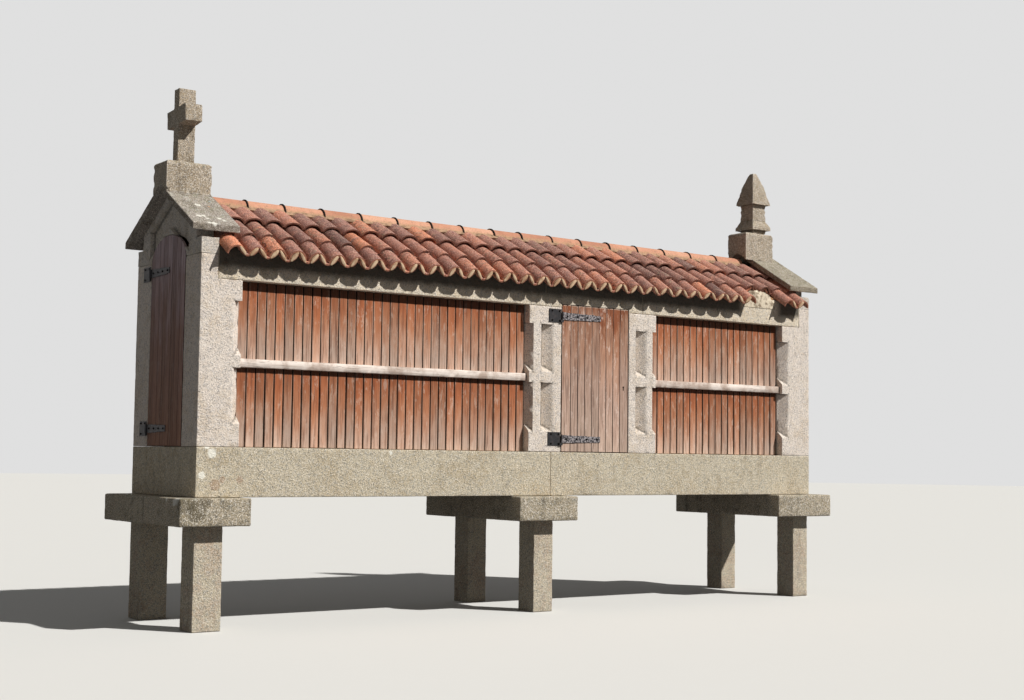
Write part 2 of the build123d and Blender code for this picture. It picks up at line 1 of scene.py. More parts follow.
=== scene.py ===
"""The raised granary of granite and timber: its looks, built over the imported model.

Metres. +Z is up, X runs along the building and -Y is the long front with the side door.
The origin is on the ground, below the middle of the chamber.
"""

import logging
import math
import random
from dataclasses import dataclass, field
from enum import Enum
from typing import Iterable, Optional, Sequence, Union

import bmesh
import bpy
from mathutils import Matrix, Vector, noise


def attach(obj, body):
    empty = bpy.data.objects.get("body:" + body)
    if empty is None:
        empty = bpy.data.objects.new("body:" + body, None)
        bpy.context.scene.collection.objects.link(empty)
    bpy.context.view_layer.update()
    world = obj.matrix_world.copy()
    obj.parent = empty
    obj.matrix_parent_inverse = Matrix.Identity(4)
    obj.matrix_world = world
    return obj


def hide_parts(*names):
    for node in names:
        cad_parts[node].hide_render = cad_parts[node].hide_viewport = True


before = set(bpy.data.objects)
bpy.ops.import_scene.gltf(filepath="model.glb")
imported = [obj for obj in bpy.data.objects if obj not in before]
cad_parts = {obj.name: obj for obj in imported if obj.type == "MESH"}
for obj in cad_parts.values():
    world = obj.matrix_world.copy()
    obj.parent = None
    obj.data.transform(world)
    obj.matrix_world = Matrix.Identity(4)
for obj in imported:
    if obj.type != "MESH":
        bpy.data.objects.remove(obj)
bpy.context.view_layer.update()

RGBA = tuple[float, float, float, float]
Triple = tuple[float, float, float]

MARK = "mark"
PLAIN_MARK = (0.5, 0.5, 0.0)
CAD_NORMALS = "custom_normal"

# How near two points count as one, and below how many degrees a seam counts as flat
MERGE_GAP = 2e-5
CUT_GAP = 1e-5
FLAT_SEAM = 0.4

# Places of the model that the pieces here are fitted to
BEAM_TOP = 1.520
LINTEL_BOTTOM = 2.925
RAIL_BOTTOM = 2.193
RAIL_TOP = 2.268
FRONT = -0.680
BOARD_FACE = -0.600
BOARD_BACK = -0.570
GABLE_FACE = -3.610
HEAD_BOTTOM = 3.130
ARCH_TOP = 3.350
RIDGE_CENTRE = 3.632

logger = logging.getLogger("granary")


def tint(red: float, green: float, blue: float) -> RGBA:
    """A colour as it looks on a screen, turned into the linear values that a shader takes.

    Args:
        red: Red from 0 to 255.
        green: Green from 0 to 255.
        blue: Blue from 0 to 255.

    Returns:
        The linear colour, fully opaque.
    """
    def linear(value: float) -> float:
        """One channel, made linear."""
        share = value / 255
        return share / 12.92 if share <= 0.04045 else ((share + 0.055) / 1.055) ** 2.4

    return (linear(red), linear(green), linear(blue), 1.0)


class Body(Enum):
    """The moving bodies of the model."""

    GRANARY = "granary"
    SIDE_DOOR = "side_door"
    GABLE_DOOR = "gable_door"


class Slot(Enum):
    """The material slots of the record."""

    GRANITE = "granite"
    BAY_BOARDS = "bay_boards"
    SIDE_DOOR_WOOD = "side_door_wood"
    GABLE_DOOR_WOOD = "gable_door_wood"
    GREY_TIMBER = "grey_timber"
    INNER_TIMBER = "inner_timber"
    ROOF_TILE = "roof_tile"
    WROUGHT_IRON = "wrought_iron"


class Axis(Enum):
    """The axes, as unit vectors."""

    X = (1.0, 0.0, 0.0)
    Y = (0.0, 1.0, 0.0)
    Z = (0.0, 0.0, 1.0)


class Shade:
    """A value in a finish's node tree that Python's own signs can reckon with."""

    def __init__(self, bench: "Bench", socket: bpy.types.NodeSocket) -> None:
        """Keep the socket and the bench whose tree it is in."""
        self.bench = bench
        self.socket = socket

    def __add__(self, other: "Value") -> "Shade":
        """The sum of two values."""
        return self.bench.maths("ADD", self, other)

    def __radd__(self, other: "Value") -> "Shade":
        """The sum of two values."""
        return self.bench.maths("ADD", other, self)

    def __sub__(self, other: "Value") -> "Shade":
        """The first value less the second."""
        return self.bench.maths("SUBTRACT", self, other)

    def __rsub__(self, other: "Value") -> "Shade":
        """The first value less the second."""
        return self.bench.maths("SUBTRACT", other, self)

    def __mul__(self, other: "Value") -> "Shade":
        """The product of two values."""
        return self.bench.maths("MULTIPLY", self, other)

    def __rmul__(self, other: "Value") -> "Shade":
        """The product of two values."""
        return self.bench.maths("MULTIPLY", other, self)

    def __abs__(self) -> "Shade":
        """The size of a value, whatever its sign."""
        return self.bench.maths("ABSOLUTE", self)


Value = Union[Shade, float]
Colour = Union[Shade, RGBA]


class Bench:
    """The node tree of one finish, with the few recipes that the finishes share."""

    def __init__(self, name: str) -> None:
        """Start an empty material.

        Args:
            name: The name of the material.
        """
        self.material = bpy.data.materials.new(name)
        self.material.use_nodes = True
        self.tree = self.material.node_tree
        self.tree.nodes.clear()

    def node(self, kind: str, settings: Optional[dict] = None, inputs: Optional[dict] = None,
             output: Union[int, str] = 0) -> Shade:
        """Add a node.

        Args:
            kind: The node's type.
            settings: Its properties, and "stops" for the stops of a ramp.
            inputs: Values or links by socket name or number.
            output: The socket that is wanted.

        Returns:
            The wanted output.
        """
        made = self.tree.nodes.new(kind)
        for name, value in (settings or {}).items():
            if name == "stops":
                self.set_stops(made.color_ramp, value)
            else:
                setattr(made, name, value)
        for name, value in (inputs or {}).items():
            socket = made.inputs[name]
            if isinstance(value, Shade):
                self.tree.links.new(value.socket, socket)
            else:
                socket.default_value = value
        return Shade(self, made.outputs[output])

    @staticmethod
    def set_stops(ramp: bpy.types.ColorRamp, stops: Sequence[tuple[float, RGBA]]) -> None:
        """Give a ramp its stops.

        Args:
            ramp: The ramp.
            stops: Place and colour of each stop, in rising order.
        """
        while len(ramp.elements) < len(stops):
            ramp.elements.new(1.0)
        for element, (place, colour) in zip(ramp.elements, stops):
            element.position = place
            element.color = colour

    def maths(self, operation: str, *values: Value) -> Shade:
        """A Math node over one or more values."""
        return self.node("ShaderNodeMath", {"operation": operation}, dict(enumerate(values)))

    def place(self) -> Shade:
        """The place on the object, in metres."""
        return self.node("ShaderNodeTexCoord", output="Object")

    def stretched(self, place: Shade, scale: Triple, shift: Triple = (0.0, 0.0, 0.0)) -> Shade:
        """The place, scaled by a factor along each axis and shifted."""
        return self.node("ShaderNodeMapping", {"vector_type": "POINT"},
                         {"Vector": place, "Scale": scale, "Location": shift})

    def noise(self, place: Shade, scale: float, detail: float = 3.0, rough: float = 0.6,
              distortion: float = 0.0) -> Shade:
        """Soft noise from 0 to 1 about its middle."""
        return self.node("ShaderNodeTexNoise", None, {
            "Vector": place, "Scale": scale, "Detail": detail, "Roughness": rough,
            "Distortion": distortion})

    def warped(self, place: Shade, scale: float, amount: float) -> Shade:
        """The place, pushed about by noise.

        Args:
            place: The place to push.
            scale: How fine the push is.
            amount: How far it goes, in metres.

        Returns:
            The pushed place.
        """
        push = self.node("ShaderNodeTexNoise", None, {"Vector": place, "Scale": scale, "Detail": 2.0},
                         "Color")
        centred = self.node("ShaderNodeVectorMath", {"operation": "SUBTRACT"},
                            {0: push, 1: (0.5, 0.5, 0.5)})
        scaled = self.node("ShaderNodeVectorMath", {"operation": "SCALE"},
                           {0: centred, "Scale": amount})
        return self.node("ShaderNodeVectorMath", {"operation": "ADD"}, {0: place, 1: scaled})

    def cells(self, place: Shade, scale: float, output: str = "Distance") -> Shade:
        """Scattered cells: the distance from the nearest middle, or a colour for each."""
        return self.node("ShaderNodeTexVoronoi", None, {"Vector": place, "Scale": scale}, output)

    def step(self, value: Value, low: float, high: float) -> Shade:
        """A smooth step, 0 at low and 1 at high; low may be the larger."""
        if low > high:
            return 1.0 - self.step(value, high, low)
        return self.node("ShaderNodeMapRange", {"interpolation_type": "SMOOTHSTEP"},
                         {"Value": value, "From Min": low, "From Max": high})

    def slide(self, value: Value, low: float, high: float) -> Shade:
        """A straight rise from 0 at low to 1 at high, held at both ends."""
        return self.node("ShaderNodeMapRange", {"interpolation_type": "LINEAR", "clamp": True},
                         {"Value": value, "From Min": low, "From Max": high})

    def blend(self, share: Value, first: Colour, second: Colour, kind: str = "MIX") -> Shade:
        """A mix of two colours.

        Args:
            share: How much of the second shows.
            first: The first colour.
            second: The second colour.
            kind: How they mix.

        Returns:
            The mixed colour.
        """
        settings = {"data_type": "RGBA", "blend_type": kind, "clamp_factor": True}
        return self.node("ShaderNodeMix", settings, {0: share, 6: first, 7: second}, 2)

    def ramp(self, value: Value, stops: Sequence[tuple[float, RGBA]]) -> Shade:
        """A colour picked along a row of stops."""
        return self.node("ShaderNodeValToRGB", {"stops": stops}, {"Fac": value}, "Color")

    def brightened(self, colour: Shade, amount: Value) -> Shade:
        """A colour made brighter or darker by a factor about 1."""
        factor = self.node("ShaderNodeCombineXYZ", None, {0: amount, 1: amount, 2: amount})
        return self.node("ShaderNodeVectorMath", {"operation": "MULTIPLY"}, {0: colour, 1: factor})

    def part(self, vector: Shade, axis: Axis) -> Shade:
        """One coordinate of a place or normal."""
        return self.node("ShaderNodeSeparateXYZ", None, {0: vector}, axis.name)

    def facing(self, axis: Axis) -> Shade:
        """One coordinate of the surface's normal."""
        return self.part(self.node("ShaderNodeNewGeometry", output="Normal"), axis)

    def mark(self, axis: Axis) -> Shade:
        """One value of the mark that the maker left on each piece."""
        return self.part(self.node("ShaderNodeAttribute", {"attribute_name": MARK}, None, "Vector"),
                         axis)

    def spot(self, place: Shade, centre: Triple, radius: float) -> Shade:
        """A ragged round spot, 1 inside and 0 outside."""
        away = self.node("ShaderNodeVectorMath", {"operation": "DISTANCE"}, {0: place, 1: centre},
                         "Value")
        return self.step(away, radius * 1.1, radius * 0.75)

    def bump(self, height: Value, distance: float, strength: float = 1.0) -> Shade:
        """A normal from a height, with its depth in metres."""
        return self.node("ShaderNodeBump", None, {
            "Height": height, "Distance": distance, "Strength": strength}, "Normal")

    def surface(self, colour: Colour, roughness: Value, normal: Optional[Shade] = None,
                metallic: Value = 0.0, specular: float = 0.3) -> bpy.types.Material:
        """Close the tree with a surface shader.

        Args:
            colour: The base colour.
            roughness: How rough it is.
            normal: The bumped normal.
            metallic: How metallic it is.
            specular: The level of its plain reflection.

        Returns:
            The material.
        """
        inputs = {"Base Color": colour, "Roughness": roughness, "Metallic": metallic,
                  "Specular IOR Level": specular}
        if normal is not None:
            inputs["Normal"] = normal
        shader = self.node("ShaderNodeBsdfPrincipled", None, inputs)
        output = self.tree.nodes.new("ShaderNodeOutputMaterial")
        self.tree.links.new(shader.socket, output.inputs["Surface"])
        return self.material


made_materials: dict["Finish", bpy.types.Material] = {}


@dataclass(frozen=True)
class Finish:
    """A finish of the granary, by name and record slot."""

    name: str
    slot: Slot

    def paint(self, bench: Bench) -> bpy.types.Material:
        """Build the finish's nodes.

        Args:
            bench: An empty bench.

        Returns:
            The material.
        """
        raise NotImplementedError

    def material(self) -> bpy.types.Material:
        """The finish's material, made when it is first wanted."""
        if self not in made_materials:
            made_materials[self] = self.paint(Bench(self.name))
        return made_materials[self]


@dataclass(frozen=True)
class Patch:
    """A patch of lichen or stain at one place."""

    centre: Triple
    radius: float
    colour: RGBA
    strength: float = 0.9


DARK_GRAIN = tint(102, 96, 90)
PALE_GRAIN = tint(252, 244, 232)
PALE_LICHEN = tint(205, 205, 192)
GREEN_LICHEN = tint(140, 140, 108)
# Soot for the stains, also used as painted shade in creases
SOOT_AND_CREASE_SHADE = tint(62, 58, 52)


@dataclass(frozen=True)
class Granite(Finish):
    """Worn granite with grains, stains and lichen.

    The stone's own mark holds how worn an edge is (X) and how deep a crease is (Y).
    """

    tone: RGBA
    warm: RGBA
    cool: RGBA
    speckle: float
    stain: float
    lichen: float
    rim: float = 0.0
    # Heights of a painted eave shadow on the stone, and the middle of the stretch where it is left out
    eave_shadow_band: Optional[tuple[float, float]] = None
    bare_middle: float = 2.86
    patches: tuple[Patch, ...] = ()

    def paint(self, bench: Bench) -> bpy.types.Material:
        """Build the finish's nodes.

        Args:
            bench: An empty bench.

        Returns:
            The material.
        """
        place = bench.place()
        broad = bench.noise(place, 1.9, 4.0, 0.55)
        cloud = bench.noise(place, 10.0, 4.0, 0.62, 0.3)
        mottle = bench.noise(place, 52.0, 3.0, 0.75)
        grain = bench.noise(place, 240.0, 3.0, 0.8)
        crystal = bench.noise(place, 96.0, 2.0, 0.8)
        pits = bench.step(bench.cells(bench.warped(place, 60.0, 0.02), 58.0), 0.3, 0.14)
        pits = pits * bench.step(mottle, 0.44, 0.56)
        warmth = bench.step(broad * 0.45 + cloud * 0.55, 0.44, 0.62)
        colour = bench.blend(warmth * 0.75, self.tone, self.warm)
        colour = bench.blend(bench.step(mottle, 0.5, 0.6) * self.speckle, colour, self.cool)
        colour = bench.blend(bench.step(crystal, 0.57, 0.64) * self.speckle, colour, DARK_GRAIN)
        colour = bench.blend(bench.step(crystal, 0.47, 0.39) * self.speckle, colour, PALE_GRAIN)
        colour = bench.blend(bench.step(grain, 0.58, 0.65) * self.speckle, colour, DARK_GRAIN)
        colour = bench.blend(bench.step(grain, 0.45, 0.37) * self.speckle, colour, PALE_GRAIN)
        colour = bench.blend(pits * self.speckle, colour, DARK_GRAIN)
        streaks = bench.noise(bench.stretched(place, (9.0, 9.0, 0.9)), 1.0, 4.0, 0.65)
        stains = bench.step(streaks * 0.6 + cloud * 0.4, 0.5, 0.68)
        colour = bench.blend(stains * self.stain, colour, SOOT_AND_CREASE_SHADE)
        if self.rim:
            upright = bench.step(abs(bench.facing(Axis.Z)), 0.55, 0.3) * bench.step(mottle, 0.36, 0.6)
            colour = bench.blend(upright * self.rim, colour, tint(92, 76, 56))
        # Painted shadow of the eave: a dark band near the top, left out where the missing tiles let the
        # light through.
        if self.eave_shadow_band:
            painted_eave_shadow = bench.step(bench.part(place, Axis.Z) + (cloud - 0.5) * 0.05, *self.eave_shadow_band)
            lit_through_gap = bench.step(abs(bench.part(place, Axis.X) - self.bare_middle), 0.34, 0.22)
            colour = bench.blend(painted_eave_shadow * (1.0 - lit_through_gap) * 0.85, colour, tint(40, 38, 32))
        # Painted shade: concave creases darkened as if little light reached them.
        crease = bench.step(bench.mark(Axis.Y), 0.05, 0.6)
        colour = bench.blend(crease * 0.45, colour, SOOT_AND_CREASE_SHADE)
        edge = bench.step(bench.mark(Axis.X), 0.2, 0.9) * bench.step(mottle, 0.42, 0.6)
        colour = bench.blend(edge * 0.3, colour, PALE_GRAIN)
        upward = bench.step(bench.facing(Axis.Z), -0.1, 0.7)
        ragged = bench.warped(place, 45.0, 0.035)
        rings = bench.step(bench.cells(ragged, 15.0), 0.32, 0.2)
        rings = rings * bench.step(bench.noise(place, 5.0), 0.46, 0.6)
        colour = bench.blend(rings * (upward * 0.8 + 0.2) * self.lichen, colour, PALE_LICHEN)
        moss = bench.step(bench.noise(place, 17.0, 4.0, 0.7), 0.52, 0.68)
        colour = bench.blend(moss * upward * self.lichen, colour, GREEN_LICHEN)
        wander = bench.warped(place, 55.0, 0.035)
        for patch in self.patches:
            mask = bench.spot(wander, patch.centre, patch.radius) * patch.strength
            colour = bench.blend(mask * bench.step(crystal, 0.34, 0.44), colour, patch.colour)
        height = cloud * 0.7 + mottle * 0.75 + crystal * 0.6 + grain * 0.2 - pits * 0.35
        roughness = 0.8 + bench.step(grain, 0.4, 0.6) * 0.14
        return bench.surface(colour, roughness, bench.bump(height, 0.012, 1.0), specular=0.2)


@dataclass(frozen=True)
class Terracotta(Finish):
    """Fired clay tile. The tile's mark holds its tone (X) and its age (Y)."""

    ends: RGBA = tint(172, 116, 94)
    eave: float = 0.80

    def paint(self, bench: Bench) -> bpy.types.Material:
        """Build the finish's nodes.

        Args:
            bench: An empty bench.

        Returns:
            The material.
        """
        place = bench.place()
        tone = bench.mark(Axis.X)
        age = bench.mark(Axis.Y)
        cloud = bench.noise(place, 14.0, 4.0, 0.7)
        blotch = bench.noise(place, 38.0, 4.0, 0.75, 0.4)
        fine = bench.noise(place, 105.0, 3.0, 0.8)
        picked = tone * 0.75 + (cloud - 0.5) * 0.9 + (blotch - 0.5) * 0.8 + 0.12
        colour = bench.ramp(picked, [
            (0.0, tint(102, 78, 74)), (0.26, tint(150, 107, 96)), (0.48, tint(186, 129, 112)),
            (0.7, tint(210, 139, 110)), (0.95, tint(240, 154, 114))])
        colour = bench.blend(bench.step(fine, 0.51, 0.61) * 0.8, colour, tint(88, 64, 62))
        colour = bench.blend(bench.step(fine, 0.46, 0.37) * 0.8, colour, tint(244, 210, 190))
        # Dark blotches of grime that grow with the tile's age.
        darkening = bench.step(blotch, 0.51, 0.6)
        colour = bench.blend(darkening * age * 0.85, colour, tint(76, 62, 60))
        lichen = bench.step(bench.noise(place, 27.0, 4.0, 0.75), 0.55, 0.64)
        colour = bench.blend(lichen * age * 0.6, colour, tint(162, 152, 124))
        # Painted shade: tile ends are darkened so that each lap shows as a dark arc; the ends at the eave
        # are made pale again below.
        cut = bench.step(abs(bench.facing(Axis.Y)), 0.66, 0.82)
        inner = bench.blend(bench.step(fine, 0.4, 0.6), tint(96, 64, 54), tint(132, 88, 72))
        colour = bench.blend(cut * 0.9, colour, inner)
        near = bench.step(abs(bench.part(place, Axis.Y)), self.eave - 0.01, self.eave + 0.01)
        worn = bench.blend(bench.step(fine, 0.5, 0.64), self.ends, tint(122, 78, 62))
        colour = bench.blend(cut * near * 0.95, colour, worn)
        height = cloud * 0.4 + blotch * 0.6 + fine * 0.6
        return bench.surface(colour, 0.86, bench.bump(height, 0.009, 0.85), specular=0.2)


@dataclass(frozen=True)
class RidgeClay(Finish):
    """Pale fired clay of the ridge tiles, whose lower parts are coated with old mortar."""

    coat_level: float = 3.668

    def paint(self, bench: Bench) -> bpy.types.Material:
        """Build the finish's nodes.

        Args:
            bench: An empty bench.

        Returns:
            The material.
        """
        place = bench.place()
        cloud = bench.noise(place, 11.0, 4.0, 0.65)
        fine = bench.noise(place, 70.0, 3.0, 0.7)
        picked = bench.mark(Axis.X) * 0.6 + cloud * 0.6 - 0.1
        colour = bench.ramp(picked, [
            (0.1, tint(176, 120, 96)), (0.5, tint(208, 152, 124)), (0.9, tint(226, 178, 150))])
        colour = bench.blend(bench.step(fine, 0.5, 0.64) * 0.45, colour, tint(150, 122, 104))
        level = bench.part(place, Axis.Z) + (cloud - 0.5) * 0.05
        coat = bench.step(level, self.coat_level + 0.014, self.coat_level - 0.014)
        worn = bench.blend(bench.step(fine, 0.42, 0.62), tint(198, 160, 126), tint(158, 134, 104))
        colour = bench.blend(coat * 0.7, colour, worn)
        dark = bench.step(bench.noise(place, 30.0, 4.0, 0.7), 0.58, 0.7)
        colour = bench.blend(dark * 0.5, colour, tint(88, 82, 70))
        return bench.surface(colour, 0.88, bench.bump(cloud * 0.5 + fine * 0.5, 0.004, 0.7),
                             specular=0.2)


@dataclass(frozen=True)
class Mortar(Finish):
    """Lime mortar with sand in it."""

    tone: RGBA
    shade: RGBA

    def paint(self, bench: Bench) -> bpy.types.Material:
        """Build the finish's nodes.

        Args:
            bench: An empty bench.

        Returns:
            The material.
        """
        place = bench.place()
        cloud = bench.noise(place, 18.0, 4.0, 0.65)
        sand = bench.noise(place, 210.0, 2.0, 0.7)
        colour = bench.blend(bench.step(cloud, 0.42, 0.64), self.tone, self.shade)
        colour = bench.blend(bench.step(sand, 0.55, 0.68) * 0.5, colour, tint(110, 98, 84))
        return bench.surface(colour, 0.92, bench.bump(cloud * 0.7 + sand * 0.3, 0.006, 0.8),
                             specular=0.15)


@dataclass(frozen=True)
class Weathering:
    """How a board's colour changes from the top of a sheltered stretch to its wet foot; on the gable door
    the pale bluish top is a painted sky sheen.

    Under its ledge the stretch may have a dark band of painted shadow, as deep as the ledge's shadow
    falls.
    """

    low: float
    high: float
    # Height of the painted shadow band under the ledge, or 0 for none
    darkening: float = 0.0


@dataclass(frozen=True)
class BoardWood(Finish):
    """Weathered softwood boards. The board's mark holds its tone (X) and its own number (Y)."""

    stretches: tuple[Weathering, ...]
    stops: tuple[tuple[float, RGBA], ...]
    scuff: float = 0.4
    pale: RGBA = tint(214, 190, 172)
    grain_dark: RGBA = tint(90, 56, 42)
    contrast: float = 0.45
    across: Axis = Axis.X

    def paint(self, bench: Bench) -> bpy.types.Material:
        """Build the finish's nodes.

        Args:
            bench: An empty bench.

        Returns:
            The material.
        """
        place = bench.place()
        level = bench.part(place, Axis.Z)
        number = bench.mark(Axis.Y)
        shifted = bench.node("ShaderNodeCombineXYZ", None, {0: number * 7.0, 1: number * 3.0,
                                                            2: number * 11.0})
        own = bench.node("ShaderNodeVectorMath", {"operation": "ADD"}, {0: place, 1: shifted})
        fibre = bench.noise(bench.stretched(own, (70.0, 70.0, 2.4)), 1.0, 4.0, 0.6)
        line = bench.noise(bench.stretched(own, (170.0, 170.0, 4.5)), 1.0, 3.0, 0.65)
        cloud = bench.noise(bench.stretched(own, (14.0, 14.0, 4.0)), 1.0, 4.0, 0.6)
        # How far up its stretch a point is: weathering on the bays, and on the gable door also a painted
        # sky sheen at the top.
        shelter_and_sheen: Value = 0.0
        ledge_shadow_band: Value = 0.0
        for stretch in self.stretches:
            rise = bench.slide(level, stretch.low, stretch.high)
            inside = bench.maths("GREATER_THAN", level, stretch.low - 0.04)
            within = inside * bench.maths("LESS_THAN", level, stretch.high + 0.02)
            shelter_and_sheen = rise * within + shelter_and_sheen
            if stretch.darkening:
                foot = stretch.high - stretch.darkening
                ledge_shadow_band = bench.step(level, foot - 0.004, foot + 0.008) * within + ledge_shadow_band
        picked = shelter_and_sheen + (cloud - 0.5) * 0.8 + (bench.mark(Axis.X) - 0.5) * 0.22
        colour = bench.ramp(picked, self.stops)
        colour = bench.blend(bench.step(fibre, 0.5, 0.64) * 0.5, colour, self.grain_dark)
        colour = bench.blend(bench.step(line, 0.53, 0.64) * 0.38, colour, self.grain_dark)
        wipe = bench.noise(bench.stretched(own, (26.0, 26.0, 7.0)), 1.0, 4.0, 0.75)
        colour = bench.blend(bench.step(wipe, 0.54, 0.66) * self.scuff, colour, self.pale)
        colour = bench.brightened(colour, bench.mark(Axis.X) * self.contrast + (1.0 - self.contrast / 2))
        turned = abs(bench.facing(self.across))
        # Pale arrises: wear, and partly a painted highlight where the light catches each edge.
        arris_wear_and_highlight = bench.step(turned, 0.35, 0.6) * bench.step(fibre, 0.62, 0.44)
        colour = bench.blend(arris_wear_and_highlight * 0.6, colour, self.pale)
        # Painted shade: the side faces of the boards are dark, so that the gaps between them look black.
        colour = bench.blend(bench.step(turned, 0.8, 0.94) * 0.9, colour, tint(36, 22, 17))
        # Painted shadow: a dark band under the lintel and under the rail.
        if isinstance(ledge_shadow_band, Shade):
            colour = bench.blend(ledge_shadow_band * 0.72, colour, tint(40, 24, 18))
        height = fibre * 0.6 + line * 0.5
        return bench.surface(colour, 0.8, bench.bump(height, 0.003, 0.85), specular=0.22)


@dataclass(frozen=True)
class Timber(Finish):
    """Sawn timber with its grain along the building."""

    tone: RGBA
    dark: RGBA
    crack: RGBA = tint(88, 74, 64)
    grain: Triple = (2.2, 60.0, 60.0)
    hairline: float = 2.6

    def paint(self, bench: Bench) -> bpy.types.Material:
        """Build the finish's nodes.

        Args:
            bench: An empty bench.

        Returns:
            The material.
        """
        place = bench.place()
        fine = tuple(value * self.hairline for value in self.grain)
        fibre = bench.noise(bench.stretched(place, self.grain), 1.0, 4.0, 0.6)
        line = bench.noise(bench.stretched(place, fine), 1.0, 3.0, 0.6)
        cloud = bench.noise(place, 6.0, 4.0, 0.6)
        colour = bench.blend(bench.step(cloud, 0.4, 0.65), self.tone, self.dark)
        colour = bench.blend(bench.step(fibre, 0.48, 0.66) * 0.5, colour, self.dark)
        colour = bench.blend(bench.step(line, 0.58, 0.68) * 0.55, colour, self.crack)
        return bench.surface(colour, 0.82, bench.bump(fibre * 0.5 + line * 0.5, 0.003, 0.8),
                             specular=0.2)


@dataclass(frozen=True)
class WroughtIron(Finish):
    """Black painted iron, worn grey at its edges, with a little rust."""

    tone: RGBA = tint(26, 25, 28)
    worn: RGBA = tint(84, 80, 80)
    rust: RGBA = tint(92, 58, 42)
    hammered: float = 0.0

    def paint(self, bench: Bench) -> bpy.types.Material:
        """Build the finish's nodes.

        Args:
            bench: An empty bench.

        Returns:
            The material.
        """
        place = bench.place()
        cloud = bench.noise(place, 22.0, 4.0, 0.65)
        fine = bench.noise(place, 160.0, 3.0, 0.7)
        dents = bench.noise(place, 58.0, 2.0, 0.6)
        colour = bench.blend(bench.step(cloud, 0.45, 0.65) * 0.5, self.tone, tint(60, 58, 60))
        colour = bench.blend(bench.step(bench.mark(Axis.X), 0.2, 0.8) * 0.6, colour, self.worn)
        if self.hammered:
            colour = bench.blend(bench.step(dents, 0.46, 0.58) * self.hammered, colour, self.worn)
        rust = bench.step(fine * 0.5 + cloud * 0.5, 0.55, 0.64)
        colour = bench.blend(rust * 0.45, colour, self.rust)
        roughness = 0.5 + bench.step(fine, 0.4, 0.65) * 0.25
        height = fine * 0.4 + cloud * 0.3 + dents * (0.3 + self.hammered)
        return bench.surface(colour, roughness, bench.bump(height, 0.003, 0.8),
                             metallic=0.25, specular=0.4)


@dataclass(frozen=True)
class NearBlack(Finish):
    """Near-black: painted shade for a small hole, and the black of a greased bolt head."""

    tone: RGBA = tint(20, 17, 15)

    def paint(self, bench: Bench) -> bpy.types.Material:
        """Build the finish's nodes.

        Args:
            bench: An empty bench.

        Returns:
            The material.
        """
        speck = bench.noise(bench.place(), 90.0, 3.0)
        colour = bench.blend(bench.step(speck, 0.4, 0.7), self.tone, tint(34, 29, 25))
        return bench.surface(colour, 0.95, specular=0.05)


class Blank:
    """A mesh in the making, with the mark on each vertex that its finish reads."""

    def __init__(self) -> None:
        """Start an empty mesh."""
        self.mesh = bmesh.new()
        self.layer = self.mesh.verts.layers.float_vector.new(MARK)

    def append(self, template: bpy.types.Mesh, matrix: Matrix, mark: Triple) -> None:
        """Add a copy of a template mesh.

        Args:
            template: The mesh to copy.
            matrix: Where it goes.
            mark: The mark that its vertices get.
        """
        start = len(self.mesh.verts)
        self.mesh.from_mesh(template)
        self.mesh.verts.ensure_lookup_table()
        layer = self.mesh.verts.layers.float_vector[MARK]
        for vert in self.mesh.verts[start:]:
            vert[layer] = mark
            vert.co = matrix @ vert.co

    def take(self, source: bmesh.types.BMesh, mark: Triple = PLAIN_MARK,
             matrix: Optional[Matrix] = None) -> None:
        """Add a bmesh and free it.

        Args:
            source: The shape to add.
            mark: The mark that its vertices get.
            matrix: Where it goes.
        """
        mesh = bpy.data.meshes.new("template")
        source.to_mesh(mesh)
        source.free()
        self.append(mesh, matrix or Matrix.Identity(4), mark)
        bpy.data.meshes.remove(mesh)

    def piece(self, name: str, finish: Finish, body: Body = Body.GRANARY,
              replaces: Iterable[str] = (), sharp: float = 38.0) -> bpy.types.Object:
        """Turn the mesh into a finished piece.

        Args:
            name: The name of the piece.
            finish: Its finish.
            body: The body that it rides on.
            replaces: The CAD nodes that it stands for.
            sharp: The angle in degrees past which an edge stays sharp.

        Returns:
            The finished object.
        """
        return finished(self.mesh, name, finish, body, replaces, sharp)


def finished(source: bmesh.types.BMesh, name: str, finish: Finish, body: Body = Body.GRANARY,
             replaces: Iterable[str] = (), sharp: float = 38.0) -> bpy.types.Object:
    """Turn a bmesh into a finished piece of the granary and free it.

    Args:
        source: The shape, in the granary's frame.
        name: The name of the piece.
        finish: Its finish.
        body: The body that it rides on.
        replaces: The CAD nodes that it stands for.
        sharp: The angle in degrees past which an edge stays sharp.

    Returns:
        The finished object.
    """
    mesh = bpy.data.meshes.new(name)
    source.to_mesh(mesh)
    source.free()
    if CAD_NORMALS in mesh.attributes:
        mesh.attributes.remove(mesh.attributes[CAD_NORMALS])
    mesh.polygons.foreach_set("use_smooth", [True] * len(mesh.polygons))
    mesh.set_sharp_from_angle(angle=math.radians(sharp))
    mesh.materials.append(finish.material())
    piece = bpy.data.objects.new(name, mesh)
    bpy.context.scene.collection.objects.link(piece)
    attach(piece, body.value)
    names = list(replaces)
    if names:
        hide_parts(*names)
    logger.info("%s: %d faces", name, len(mesh.polygons))
    return piece


def dress(node: str, finish: Finish) -> None:
    """Give a CAD node that stays its finish.

    Args:
        node: The name of the node.
        finish: The finish.
    """
    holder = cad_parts[node]
    holder.data.materials.clear()
    holder.data.materials.append(finish.material())
    logger.info("%s: dressed as %s", node, finish.name)


def merged_copy(node: str) -> bmesh.types.BMesh:
    """A CAD node's shape as one closed mesh with few faces.

    Args:
        node: The name of the node.

    Returns:
        A new bmesh in the granary's frame.
    """
    source = bmesh.new()
    source.from_mesh(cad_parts[node].data)
    bmesh.ops.remove_doubles(source, verts=source.verts, dist=MERGE_GAP)
    bmesh.ops.dissolve_limit(source, angle_limit=math.radians(FLAT_SEAM), verts=source.verts,
                             edges=source.edges, use_dissolve_boundaries=False)
    source.verts.layers.float_vector.new(MARK)
    return source


